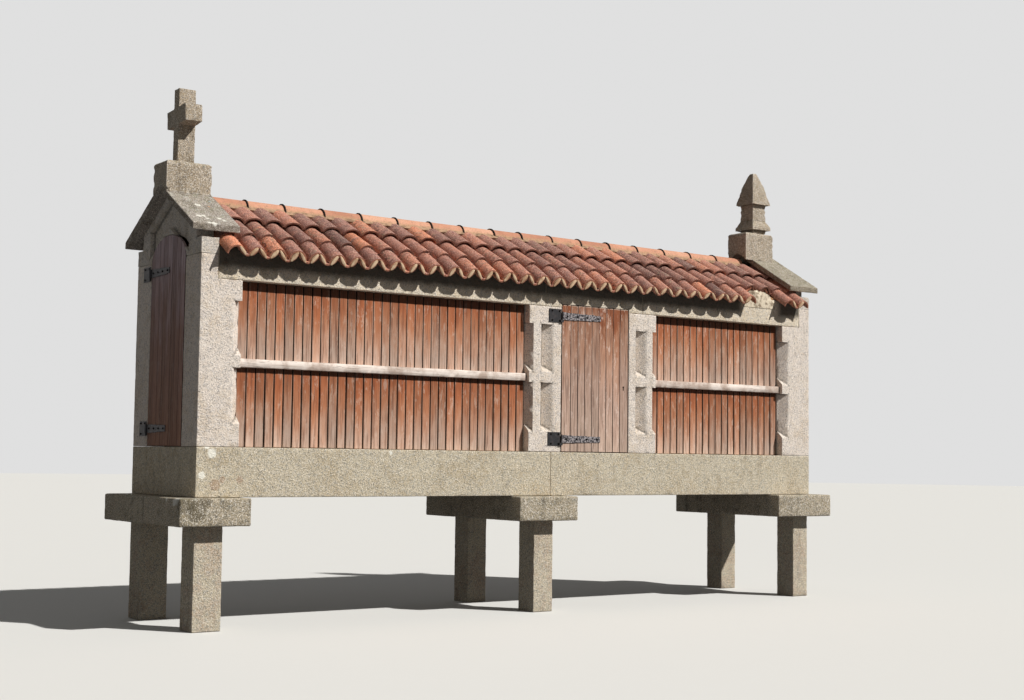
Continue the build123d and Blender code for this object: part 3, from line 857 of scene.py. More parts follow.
def geometry(source: bmesh.types.BMesh) -> list:
    """All vertices, edges and faces of a bmesh."""
    return source.verts[:] + source.edges[:] + source.faces[:]


def gridded(source: bmesh.types.BMesh, step: float) -> None:
    """Cut a shape by planes a step apart along each axis, so that it can wear unevenly.

    Args:
        source: The shape.
        step: The distance between the cuts.
    """
    corners = [vert.co for vert in source.verts]
    low = Vector([min(co[i] for co in corners) for i in range(3)])
    high = Vector([max(co[i] for co in corners) for i in range(3)])
    counts = {axis: max(1, round((high[i] - low[i]) / step)) for i, axis in enumerate(Axis)}
    for axis in sorted(Axis, key=lambda one: -counts[one]):
        index = list(Axis).index(axis)
        for cut in range(1, counts[axis]):
            place = low[index] + (high[index] - low[index]) * cut / counts[axis]
            bmesh.ops.bisect_plane(source, geom=geometry(source), dist=CUT_GAP,
                                   plane_co=Vector(axis.value) * place, plane_no=Vector(axis.value))


@dataclass(frozen=True)
class Wear:
    """How weather has worn a dressed piece."""

    step: float
    wave: float
    chip: float
    seed: float = 0.0

    def apply(self, source: bmesh.types.BMesh) -> None:
        """Wear a shape: faces wave inward a little, and edges lose chips.

        Args:
            source: The shape, which keeps its outline apart from what it loses.
        """
        gridded(source, self.step)
        bmesh.ops.triangulate(source, faces=source.faces[:], quad_method="BEAUTY",
                              ngon_method="BEAUTY")
        source.normal_update()
        layer = source.verts.layers.float_vector[MARK]
        shift = Vector((self.seed * 3.1, self.seed * 1.7, self.seed * 2.3))
        moved = []
        for vert in source.verts:
            angles = [edge.calc_face_angle_signed(0.0) for edge in vert.link_edges]
            ridge = min(1.0, max(0.0, max(angles, default=0.0)) * 2.4)
            crease = min(1.0, max(0.0, -min(angles, default=0.0)) * 1.2)
            place = vert.co + shift
            roll = noise.noise(place * 5.0) * 0.6 + noise.noise(place * 17.0) * 0.4
            loss = self.wave * (0.5 + roll * 0.5)
            bite = max(0.0, noise.noise(place * 13.0) * 0.6 + noise.noise(place * 31.0) * 0.6)
            loss += ridge * self.chip * min(1.0, bite * 1.5)
            vert[layer] = (ridge, crease, 0.0)
            moved.append((vert, vert.co - vert.normal * loss))
        for vert, place in moved:
            vert.co = place


@dataclass(frozen=True)
class Stone:
    """One stone node of the model, with its finish and wear."""

    node: str
    finish: Granite
    wear: Wear


def patches_at(rows: Sequence[tuple[float, float, float, float]],
               colour: RGBA = tint(246, 242, 228), strength: float = 1.0) -> tuple[Patch, ...]:
    """Patches of one colour from rows of x, y, z and radius."""
    return tuple(Patch((x, y, z), radius, colour, strength) for x, y, z, radius in rows)


POST_STONE = Granite("granite_posts", Slot.GRANITE, tone=tint(242, 228, 214),
                     warm=tint(226, 206, 182), cool=tint(196, 190, 188), speckle=0.6, stain=0.1,
                     lichen=0.15)
# The lintels carry a painted eave shadow along their tops.
LINTEL_STONE = Granite("granite_lintels", Slot.GRANITE, tone=tint(236, 220, 194),
                       warm=tint(218, 196, 160), cool=tint(190, 185, 178), speckle=0.6,
                       stain=0.14, lichen=0.15, eave_shadow_band=(2.99, 3.07))
BEAM_STONE = Granite(
    "granite_beams", Slot.GRANITE, tone=tint(208, 194, 166), warm=tint(190, 170, 134),
    cool=tint(162, 160, 150), speckle=0.62, stain=0.2, lichen=0.25,
    patches=patches_at([
        (-3.556, -0.68, 1.287, 0.034), (-3.469, -0.68, 1.465, 0.042), (-3.515, -0.68, 1.526, 0.03),
        (-1.742, -0.68, 1.490, 0.02)]) + patches_at([
            (-3.435, -0.68, 1.205, 0.05), (-3.37, -0.68, 1.25, 0.03), (-3.21, -0.68, 1.247, 0.035)],
            tint(158, 122, 96), 0.5))
CAP_STONE = Granite("granite_caps", Slot.GRANITE, tone=tint(178, 162, 134),
                    warm=tint(150, 136, 106), cool=tint(122, 120, 108), speckle=0.72, stain=0.58,
                    lichen=0.6, patches=patches_at([
                        (-3.805, -0.76, 1.09, 0.045), (-3.805, -0.71, 1.06, 0.03),
                        (-3.805, -0.55, 1.085, 0.02)], tint(236, 232, 220))
                    + patches_at([
                        (-3.74, -0.82, 1.05, 0.09), (-3.66, -0.82, 0.99, 0.09),
                        (-3.58, -0.82, 1.07, 0.06)], tint(92, 84, 66), 0.6))
LEG_STONE = Granite("granite_legs", Slot.GRANITE, tone=tint(204, 190, 162),
                    warm=tint(188, 160, 132), cool=tint(162, 160, 150), speckle=0.65, stain=0.22,
                    lichen=0.25)
GABLE_STONE = Granite("granite_gables", Slot.GRANITE, tone=tint(222, 212, 200),
                      warm=tint(204, 188, 164), cool=tint(174, 172, 172), speckle=0.6, stain=0.22,
                      lichen=0.15)
RIGHT_SLAB_STONE = Granite(
    "granite_right_slabs", Slot.GRANITE, tone=tint(146, 134, 112), warm=tint(128, 116, 86),
    cool=tint(120, 118, 108), speckle=0.65, stain=0.4, lichen=0.5, rim=0.4)
SLAB_STONE = Granite(
    "granite_slabs", Slot.GRANITE, tone=tint(154, 142, 130), warm=tint(132, 118, 96),
    cool=tint(124, 122, 118), speckle=0.7, stain=0.45, lichen=0.5, rim=0.55,
    patches=patches_at([
        (-3.629, -0.085, 3.74, 0.034), (-3.306, -0.01, 3.783, 0.02), (-3.42, 0.017, 3.799, 0.02),
        (-3.598, -0.584, 3.45, 0.026), (-3.552, -0.58, 3.452, 0.02), (-3.539, -0.623, 3.428, 0.02),
        (-3.513, -0.706, 3.379, 0.028), (-3.422, -0.603, 3.439, 0.022),
        (-3.388, -0.634, 3.421, 0.02), (-3.555, -0.703, 3.381, 0.02), (-3.518, -0.369, 3.575, 0.03)],
        tint(230, 226, 214), 1.0)
    + (Patch((-3.419, -0.379, 3.569), 0.012, tint(206, 140, 70)),
       Patch((-3.362, -0.265, 3.635), 0.014, tint(150, 168, 164))))
TOP_STONE = Granite("granite_tops", Slot.GRANITE, tone=tint(180, 163, 140),
                    warm=tint(160, 139, 108), cool=tint(140, 134, 126), speckle=0.65, stain=0.45,
                    lichen=0.35)

TILE_CLAY = Terracotta("tile_clay", Slot.ROOF_TILE)
RIDGE_CLAY = RidgeClay("ridge_clay", Slot.ROOF_TILE)
TILE_MORTAR = Mortar("tile_mortar", Slot.ROOF_TILE, tint(230, 200, 166), tint(200, 162, 128))
BROKEN_BED = Mortar("broken_bed", Slot.ROOF_TILE, tint(224, 210, 186), tint(142, 126, 106))
POINTING = Mortar("stone_pointing", Slot.GRANITE, tint(190, 176, 154), tint(146, 134, 116))
# Dark bands at the ridge laps: painted shade of each tile's overlapping end and the gap under it.
RIDGE_LAP_SHADE = Mortar("ridge_lap_shade", Slot.ROOF_TILE, tint(50, 42, 38), tint(30, 26, 24))
BED_MORTAR = Mortar("bed_mortar", Slot.ROOF_TILE, tint(182, 148, 120), tint(136, 110, 88))
BAY_WOOD = BoardWood(
    "bay_boards", Slot.BAY_BOARDS,
    # The third number of a stretch is the height of its painted ledge shadow.
    stretches=(Weathering(BEAM_TOP, RAIL_BOTTOM, 0.042), Weathering(RAIL_TOP, LINTEL_BOTTOM, 0.078)),
    stops=((0.0, tint(200, 172, 154)), (0.3, tint(192, 150, 126)), (0.6, tint(176, 118, 86)),
           (0.85, tint(164, 98, 64)), (1.0, tint(150, 86, 54))), contrast=0.42)
SIDE_WOOD = BoardWood(
    "side_door_boards", Slot.SIDE_DOOR_WOOD, stretches=(Weathering(BEAM_TOP, LINTEL_BOTTOM),),
    stops=((0.0, tint(196, 170, 152)), (0.4, tint(190, 158, 140)), (0.75, tint(178, 136, 112)),
           (0.95, tint(154, 104, 77)), (1.05, tint(134, 78, 50))), scuff=0.6,
    pale=tint(214, 190, 176), grain_dark=tint(72, 46, 36))
GABLE_WOOD = BoardWood(
    "gable_door_boards", Slot.GABLE_DOOR_WOOD, stretches=(Weathering(BEAM_TOP, ARCH_TOP),),
    # The top stop, pale and bluish, is a painted sky sheen on the upper boards.
    stops=((0.0, tint(142, 106, 87)), (0.5, tint(138, 108, 97)), (1.0, tint(174, 155, 158))),
    scuff=0.3, pale=tint(170, 150, 140), grain_dark=tint(70, 48, 39), contrast=0.6, across=Axis.Y)
RAIL_WOOD = Timber("rail_timber", Slot.GREY_TIMBER, tone=tint(238, 225, 214),
                   dark=tint(186, 166, 152))
INNER_WOOD = Timber("inner_timber", Slot.INNER_TIMBER, tone=tint(168, 128, 92),
                    dark=tint(124, 90, 62), crack=tint(70, 50, 36))
IRON = WroughtIron("wrought_iron", Slot.WROUGHT_IRON)
STRAP_IRON = WroughtIron("hammered_iron", Slot.WROUGHT_IRON, tone=tint(50, 48, 52),
                         worn=tint(172, 164, 164), hammered=0.75)
# Near-black for the painted shade of the keyhole and for the bolt heads
HOLE_SHADE_AND_BOLT_BLACK = NearBlack("hole_shade_and_bolt_black", Slot.WROUGHT_IRON)


@dataclass
class Stonework:
    """Every dressed stone of the granary, worn by weather."""

    fine: Wear = Wear(step=0.03, wave=0.0022, chip=0.009)
    coarse: Wear = Wear(step=0.04, wave=0.0035, chip=0.014)
    carved: Wear = Wear(step=0.02, wave=0.004, chip=0.016)
    lintel_joints: tuple[float, ...] = (-3.450, -0.025, 1.2025, 3.450)
    lintel_joint_top: float = HEAD_BOTTOM + 0.06
    lintel_recess: float = 0.0025
    beam_joint: float = 0.050
    beam_joint_bottom: float = 1.105
    beam_joint_top: float = BEAM_TOP - 0.004
    beam_recess: float = 0.006
    joint: float = 0.007
    joint_depth: float = 0.05

    def stones(self) -> list[Stone]:
        """The stones from the ground up.

        Returns:
            Each stone with its finish and wear.
        """
        posts = ["corner_post_front_left", "corner_post_rear_left", "corner_post_front_right",
                 "corner_post_rear_right", "door_post_left", "door_post_right",
                 "rear_post_left", "rear_post_right"]
        listed = [Stone("legs_front", LEG_STONE, self.coarse), Stone("legs_rear", LEG_STONE, self.coarse)]
        listed += [Stone(f"cap_{side}", CAP_STONE, self.coarse) for side in ("left", "middle", "right")]
        listed += [Stone(f"beam_{side}", BEAM_STONE, self.fine) for side in ("front", "rear")]
        listed += [Stone(f"sill_{side}", BEAM_STONE, self.fine) for side in ("left", "right")]
        listed += [Stone(name, POST_STONE, self.fine) for name in posts]
        listed += [Stone(f"lintel_{side}", LINTEL_STONE, self.fine) for side in ("front", "rear")]
        listed += [Stone(f"gable_head_{side}", GABLE_STONE, self.fine) for side in ("left", "right")]
        listed += [Stone("gable_wall_right", GABLE_STONE, self.fine)]
        listed += [Stone("verge_slabs_left", SLAB_STONE, self.fine),
                   Stone("verge_slabs_right", RIGHT_SLAB_STONE, self.fine)]
        listed += [Stone(f"pedestal_{side}", TOP_STONE, self.carved) for side in ("left", "right")]
        listed += [Stone("cross", TOP_STONE, self.carved), Stone("pinnacle", TOP_STONE, self.carved)]
        return listed

    def build(self) -> None:
        """Wear and dress each stone, and point the joints."""
        for stone in self.stones():
            shape = merged_copy(stone.node)
            stone.wear.apply(shape)
            finished(shape, f"worn_{stone.node}", stone.finish, replaces=[stone.node], sharp=42.0)
        self.point_joints()

    def point_joints(self) -> None:
        """Fill the upright joints of lintels and beams with mortar, a little behind the face."""
        blank = Blank()
        joints = [(x, LINTEL_BOTTOM, self.lintel_joint_top, self.lintel_recess)
                  for x in self.lintel_joints]
        joints.append((self.beam_joint, self.beam_joint_bottom, self.beam_joint_top, self.beam_recess))
        for x, low, high, recess in joints:
            for side in (-1, 1):
                near, far = sorted((side * (-FRONT - recess), side * (-FRONT - self.joint_depth)))
                blank.take(block((x - self.joint / 2, near, low), (x + self.joint / 2, far, high)))
        blank.piece("stone_joints", POINTING)


def block(low: Sequence[float], high: Sequence[float], edge: float = 0.0) -> bmesh.types.BMesh:
    """A box between two corners, with its edges taken off.

    Args:
        low: The lowest corner.
        high: The highest corner.
        edge: How much is taken off each edge.

    Returns:
        A new bmesh.
    """
    shape = bmesh.new()
    bmesh.ops.create_cube(shape, size=1.0)
    size = Vector(high) - Vector(low)
    middle = (Vector(high) + Vector(low)) / 2
    bmesh.ops.scale(shape, vec=size, verts=shape.verts)
    bmesh.ops.translate(shape, vec=middle, verts=shape.verts)
    if edge:
        bmesh.ops.bevel(shape, geom=shape.edges[:], offset=edge, segments=1, profile=0.5,
                        affect="EDGES", material=-1)
    return shape


@dataclass(frozen=True)
class BarrelTile:
    """A half-round tapered tile along Y, crest up, its low end at the origin."""

    radius_low: float
    radius_high: float
    length: float
    wall: float
    half_angle: float = 84.0
    segments: int = 8
    rings: int = 2
    flat: float = 1.0

    def template(self) -> bpy.types.Mesh:
        """Spin the tile's low end, draw it out and give it its wall.

        Returns:
            The tile as a mesh.
        """
        angle = math.radians(self.half_angle)
        shape = bmesh.new()
        start = shape.verts.new((-math.sin(angle) * self.radius_low, 0.0,
                                 math.cos(angle) * self.radius_low))
        bmesh.ops.spin(shape, geom=[start], cent=(0.0, 0.0, 0.0), axis=(0.0, 1.0, 0.0),
                       angle=2 * angle, steps=self.segments, use_duplicate=False)
        ring = shape.edges[:]
        step = self.length / self.rings
        for number in range(self.rings):
            grown = bmesh.ops.extrude_edge_only(shape, edges=ring)["geom"]
            verts = [item for item in grown if isinstance(item, bmesh.types.BMVert)]
            ring = [item for item in grown if isinstance(item, bmesh.types.BMEdge)]
            share = (number + 1) / self.rings
            before = self.radius_low + (self.radius_high - self.radius_low) * number / self.rings
            after = self.radius_low + (self.radius_high - self.radius_low) * share
            bmesh.ops.translate(shape, vec=(0.0, step, 0.0), verts=verts)
            bmesh.ops.scale(shape, vec=(after / before, 1.0, after / before), verts=verts)
        bmesh.ops.scale(shape, vec=(1.0, 1.0, self.flat), verts=shape.verts)
        bmesh.ops.recalc_face_normals(shape, faces=shape.faces)
        crest = max(shape.faces, key=lambda face: face.calc_center_median().z)
        if crest.normal.z < 0:
            bmesh.ops.reverse_faces(shape, faces=shape.faces)
        bmesh.ops.solidify(shape, geom=shape.faces[:], thickness=self.wall)
        bmesh.ops.recalc_face_normals(shape, faces=shape.faces)
        mesh = bpy.data.meshes.new("barrel_tile")
        shape.to_mesh(mesh)
        shape.free()
        return mesh


@dataclass
class TiledRoof:
    """Both slopes of pan and cover tiles, with mortar in the eaves."""

    pitch: float = 0.1977
    first_pan: float = -3.256
    pans: int = 34
    first_cover: float = -3.355
    covers: int = 35
    eave: float = 0.85
    pan_set: float = 0.019
    cover_set: float = 0.036
    cover_drop: float = 0.032
    plumb: float = 0.2
    horn: float = 0.0105
    slope: float = 0.535
    bed: float = 3.115
    courses: tuple[float, ...] = (0.0, 0.272, 0.600)
    crests: tuple[float, ...] = (0.102, 0.110, 0.132)
    length: float = 0.43
    top_length: float = 0.34
    wall: float = 0.014
    pan_radius: float = 0.098
    pan_angle: float = 73.0
    cover_radius: float = 0.086
    top_cover_radius: float = 0.0985
    top_flat: float = 0.62
    missing_pans: tuple[int, ...] = (30, 31, 32)
    missing_covers: tuple[int, ...] = (31, 32)
    taper: float = 0.97
    cover_taper: float = 0.95
    lift: float = 0.014
    dip: float = 0.012
    pan_stray: float = 0.008
    cover_stray: float = 0.012
    fresh_mark: Triple = (1.0, 0.0, 0.0)
    plug_depth: float = 0.075
    plug_stand: float = 0.001
    plug_share: float = 0.92
    plug_overlap: float = 0.003
    chance: random.Random = field(default_factory=lambda: random.Random(52))

    @staticmethod
    def drift(number: float) -> float:
        """How far a row of tiles strays along the eave, by its number from the left."""
        return -0.032 * math.sin(2 * math.pi * number / 19) if 0 < number < 19 else 0.0

    @staticmethod
    def sag(number: float) -> float:
        """How far a row's lowest tile hangs below the rest, by its number from the left."""
        inside = min(max(0.0, number / 2), max(0.0, (22.5 - number) / 2), 1.0)
        return 0.021 + 0.016 * inside

    def pan_x(self, number: int) -> float:
        """The middle of a pan along the eave."""
        return self.first_pan + number * self.pitch + self.drift(number)

    def cover_x(self, number: int) -> float:
        """The middle of a cover along the eave."""
        return self.first_cover + number * self.pitch + self.drift(number - 0.5)

    def slope_frame(self, front: bool) -> Matrix:
        """The frame of a slope: X along the eave, Y up the slope and Z out of it.

        Args:
            front: True for the front slope.

        Returns:
            The matrix from the slope's frame to the granary's.
        """
        angle = math.atan(self.slope)
        side = Matrix.Identity(4) if front else Matrix.Rotation(math.pi, 4, "Z")
        return side @ Matrix.Translation((0.0, -self.eave, self.bed)) @ Matrix.Rotation(angle, 4, "X")

    def tile_place(self, x: float, s: float, low: float, high: float, length: float,
                   turned: bool) -> Matrix:
        """Where a tile lies on a slope, with a mason's small errors.

        Args:
            x: Its middle along the eave.
            s: How far up the slope its low end is.
            low: Height of its axis at the low end.
            high: Height of its axis at the high end.
            length: Its length.
            turned: True for a pan, which opens upward.

        Returns:
            The matrix from the tile's own frame to the slope's.
        """
        chance = self.chance
        lean = math.atan2(high - low, length) + math.radians(chance.uniform(-0.5, 0.5))
        swing = math.radians(chance.uniform(-0.8, 0.8))
        roll = math.radians(chance.uniform(-2.0, 2.0)) + (math.pi if turned else 0.0)
        place = Matrix.Translation((x + chance.uniform(-0.003, 0.003), s,
                                    low + chance.uniform(-0.002, 0.002)))
        return place @ Matrix.Rotation(swing, 4, "Z") @ Matrix.Rotation(lean, 4, "X") \
            @ Matrix.Rotation(roll, 4, "Y")

    def leaning_back(self) -> Matrix:
        """What makes the ends at the eave stand nearly upright, in the slope's frame."""
        lean = Matrix.Identity(4)
        lean[1][2] = self.plumb
        return lean

    def tone(self) -> Triple:
        """A tile's tone and age."""
        tone = min(1.0, max(0.0, self.chance.gauss(0.48, 0.2)))
        return (tone, self.chance.uniform(0.1, 1.0), 0.0)

    def lay_slope(self, front: bool) -> None:
        """Lay the pans and covers of one slope, course by course.

        Args:
            front: True for the front slope.
        """
        side = "front" if front else "rear"
        frame_of_slope = self.slope_frame(front)
        radius = self.pan_radius
        pan = BarrelTile(radius * self.taper, radius, self.length, self.wall, self.pan_angle).template()
        cover = BarrelTile(self.cover_radius, self.cover_radius * self.cover_taper, self.length,
                           self.wall).template()
        top_pan = BarrelTile(radius * self.taper, radius, self.top_length, self.wall,
                             self.pan_angle).template()
        top_cover = BarrelTile(self.top_cover_radius, self.top_cover_radius * self.taper,
                               self.top_length, self.wall, flat=self.top_flat).template()
        pans = Blank()
        covers = Blank()
        for course, start in enumerate(self.courses):
            top = course == len(self.courses) - 1
            length = self.top_length if top else self.length
            for number in range(self.pans):
                if front and course == 0 and number in self.missing_pans:
                    continue
                low = radius + self.lift if course else radius - self.sag(number)
                stray = self.pan_stray
                setting = self.chance.uniform(-stray, stray) if course else self.pan_set
                place = self.tile_place(self.pan_x(number), start + setting, low, radius, length, True)
                if not course:
                    place = self.leaning_back() @ place
                pans.append(top_pan if top else pan, frame_of_slope @ place, self.tone())
            for number in range(self.covers):
                if front and course == 0 and number in self.missing_covers:
                    continue
                axis = self.crests[course] - self.cover_radius
                if top:
                    axis = self.crests[course] - self.top_cover_radius * self.top_flat
                mark = self.tone()
                if front and course == 0 and number == 0:
                    mark = self.fresh_mark
                stray = self.cover_stray
                setting = self.chance.uniform(-stray, stray) if course else self.cover_set
                low = axis if course else axis - self.cover_drop
                high = axis - self.dip if course else axis
                place = self.tile_place(self.cover_x(number), start + setting, low, high, length, False)
                if not course:
                    place = self.leaning_back() @ place
                covers.append(top_cover if top else cover, frame_of_slope @ place, mark)
        pans.piece(f"tile_pans_{side}", TILE_CLAY, replaces=[f"roof_tiles_{side}"], sharp=50.0)
        covers.piece(f"tile_covers_{side}", TILE_CLAY, sharp=50.0)

    def point_eave(self, front: bool) -> None:
        """Press mortar into the eave between each cover and the pans beside it.

        Args:
            front: True for the front slope.
        """
        blank = Blank()
        frame_of_slope = self.slope_frame(front)
        cover_axis = self.crests[0] - self.cover_radius - self.cover_drop
        inner = self.pan_radius * self.taper - self.wall
        depth = self.plug_depth
        for number in range(self.covers):
            if front and number in self.missing_covers:
                continue
            for pan in (number - 1, number):
                if not 0 <= pan < self.pans or (front and pan in self.missing_pans):
                    continue
                across = self.pan_x(pan) - self.cover_x(number)
                rise = self.pan_radius - self.sag(pan) - cover_axis
                apart = math.hypot(across, rise)
                share = (apart - inner + self.horn) / apart
                half_lens = math.sqrt(max(0.0, inner * self.cover_radius - (apart / 2) ** 2))
                plug = self.eave_plug(half_lens * self.plug_share, self.horn + self.plug_overlap, depth,
                                      number + pan * 0.37)
                turn = math.atan2(rise, across) - math.pi / 2
                middle = (self.cover_x(number) + across * share,
                          self.pan_set + depth / 2 - self.plug_stand, cover_axis + rise * share)
                place = self.leaning_back() @ Matrix.Translation(middle) @ Matrix.Rotation(-turn, 4, "Y")
                blank.take(plug, matrix=frame_of_slope @ place)
        blank.piece(f"eave_mortar_{'front' if front else 'rear'}", TILE_MORTAR, sharp=50.0)

    @staticmethod
    def eave_plug(chord: float, half: float, depth: float, seed: float) -> bmesh.types.BMesh:
        """A plug of mortar with a rough rounded face, pressed in along Y.

        Args:
            chord: Half its width.
            half: Half its thickness.
            depth: How long it is.
            seed: What makes its face differ from the next one's.

        Returns:
            A new bmesh about the origin, its face towards -Y.
        """
        plug = bmesh.new()
        bmesh.ops.create_cone(plug, cap_ends=True, segments=14, radius1=1.0, radius2=1.0, depth=depth)
        bmesh.ops.rotate(plug, verts=plug.verts, cent=(0.0, 0.0, 0.0),
                         matrix=Matrix.Rotation(math.pi / 2, 3, "X"))
        bmesh.ops.scale(plug, vec=(chord, 1.0, half), verts=plug.verts)
        face = min(plug.faces, key=lambda one: one.calc_center_median().y)
        bmesh.ops.inset_individual(plug, faces=[face], thickness=half * 0.35, depth=0.002)
        for vert in plug.verts:
            rough = noise.noise(vert.co * 55.0 + Vector((seed, seed * 1.7, 0.0)))
            vert.co.y += rough * 0.003 if vert.co.y < 0 else 0.0
            vert.co.z += rough * 0.0025
        return plug

    def build(self) -> None:
        """Lay both slopes and point their eaves."""
        for front in (True, False):
            self.lay_slope(front)
            self.point_eave(front)


@dataclass
class BareBed:
    """The mortar bed laid bare where the eave tiles have gone, broken and rounded above."""

    start: float = 2.62
    end: float = 3.075
    front: float = -0.684
    back: float = -0.5
    bottom: float = 3.10
    top: float = 3.262
    sound_level: float = 3.18
    fade: float = 0.08
    step: float = 0.02
    rise: float = 0.45
    rough: float = 0.034
    drop: float = 0.085

    def build(self) -> None:
        """Break a block of mortar above its sound part."""
        blank = Blank()
        lump = block((self.start, self.front, self.bottom), (self.end, self.back, self.top))
        gridded(lump, self.step)
        for vert in lump.verts:
            across = (vert.co.x - self.start) / (self.end - self.start)
            rough = noise.noise(vert.co * 14.0) * 0.6 + noise.noise(vert.co * 40.0) * 0.4
            above = max(0.0, (vert.co.z - self.sound_level) / self.fade)
            rounding = min(1.0, across * 3.2, (1.0 - across) * 5.0)
            vert.co.z += above * (rough * self.rough + (rounding - 1.0) * self.drop
                                  + (vert.co.y - self.front) * self.rise)
            vert.co.y += above * (0.014 + noise.noise(vert.co * 21.0) * 0.025)
        blank.take(lump)
        blank.piece("broken_eave_bed", BROKEN_BED, sharp=60.0)


@dataclass
class RidgeRow:
    """The half-round ridge tiles with dark bands at their laps, painted shade of each overlapping end,
    bedded along both sides.
    """

    radius: float = 0.095
    wall: float = 0.014
    centre: float = RIDGE_CENTRE
    start: float = -3.275
    end: float = 3.163
    joints: tuple[float, ...] = (-2.91, -2.54, -2.14, -1.74, -1.35, -0.96, -0.60, -0.23, 0.11, 0.49,
                                 0.87, 1.25, 1.63, 2.01, 2.39, 2.77)
    half_angle: float = 96.0
    segments: int = 10
    taper: float = 0.004
    overlap: float = 0.005
    band_width: float = 0.011
    band_wall: float = 0.02
    band_rises: tuple[float, float] = (0.0085, 0.0075)
    bed_inner: float = 0.083
    bed_width: float = 0.034
    bed_top: float = 0.03
    bed_fall: float = 0.036
    bed_depth: float = 0.03
    chance: random.Random = field(default_factory=lambda: random.Random(7))

    def build(self) -> None:
        """Lay the tiles, the dark bands at their laps and the bed."""
        tiles = Blank()
        lap_shades = Blank()
        stations = [self.start, *self.joints, self.end]
        along_ridge = Matrix.Rotation(-math.pi / 2, 4, "Z")
        for first, last in zip(stations, stations[1:]):
            grow = self.chance.uniform(-0.002, 0.003)
            tile = BarrelTile(self.radius + grow, self.radius + grow - self.taper,
                              last - first + 2 * self.overlap, self.wall, self.half_angle,
                              self.segments).template()
            place = Matrix.Translation((first - self.overlap, 0.0, self.centre)) @ along_ridge
            tiles.append(tile, place, (self.chance.random(), self.chance.random(), 0.0))
        low, high = self.band_rises
        for joint in self.joints:
            band = BarrelTile(self.radius + low, self.radius + high, self.band_width, self.band_wall,
                              90.0, self.segments, 1)
            tilt = Matrix.Rotation(math.radians(self.chance.uniform(-2.0, 2.0)), 4, "Z")
            start = joint - self.band_width / 2
            place = Matrix.Translation((start, 0.0, self.centre)) @ tilt @ along_ridge
            lap_shades.append(band.template(), place, PLAIN_MARK)
        tiles.piece("ridge_row", RIDGE_CLAY, replaces=["ridge_tiles"], sharp=50.0)
        lap_shades.piece("ridge_lap_shade_bands", RIDGE_LAP_SHADE, sharp=50.0)
        self.bed()

    def bed(self) -> None:
        """The mortar fillet that closes the row onto the slope tiles on each side."""
        blank = Blank()
        for side in (-1, 1):
            strip = bmesh.new()
            bmesh.ops.create_grid(strip, x_segments=260, y_segments=4, size=1.0)
            for vert in strip.verts:
                share = vert.co.y * 0.5 + 0.5
                x = self.start + (self.end - self.start) * (vert.co.x * 0.5 + 0.5)
                ripple = noise.noise(Vector((x * 7.0, side * 5.0, share * 2.0)))
                edge = noise.noise(Vector((x * 16.0, side * 9.0, 3.0)))
                y = self.bed_inner + share * (self.bed_width + edge * 0.01)
                z = self.centre + self.bed_top - share * self.bed_fall + ripple * 0.005
                vert.co = Vector((x, y * side, z))
            bmesh.ops.recalc_face_normals(strip, faces=strip.faces)
            if strip.faces[:][0].normal.z < 0:
                bmesh.ops.reverse_faces(strip, faces=strip.faces)
            bmesh.ops.solidify(strip, geom=strip.faces[:], thickness=self.bed_depth)
            bmesh.ops.recalc_face_normals(strip, faces=strip.faces)
            blank.take(strip)
        blank.piece("ridge_bed", BED_MORTAR, sharp=60.0)


@dataclass(frozen=True)
class Bay:
    """A boarded bay of the front wall, or its twin on the rear."""

    start: float
    end: float
    first_seam: float
    pitch: float


LEFT_BAY = Bay(start=-3.225, end=-0.220, first_seam=-3.1365, pitch=0.0883)
MIDDLE_BAY = Bay(start=0.170, end=1.020, first_seam=0.215, pitch=0.0895)
RIGHT_BAY = Bay(start=1.385, end=3.190, first_seam=1.471, pitch=0.0899)


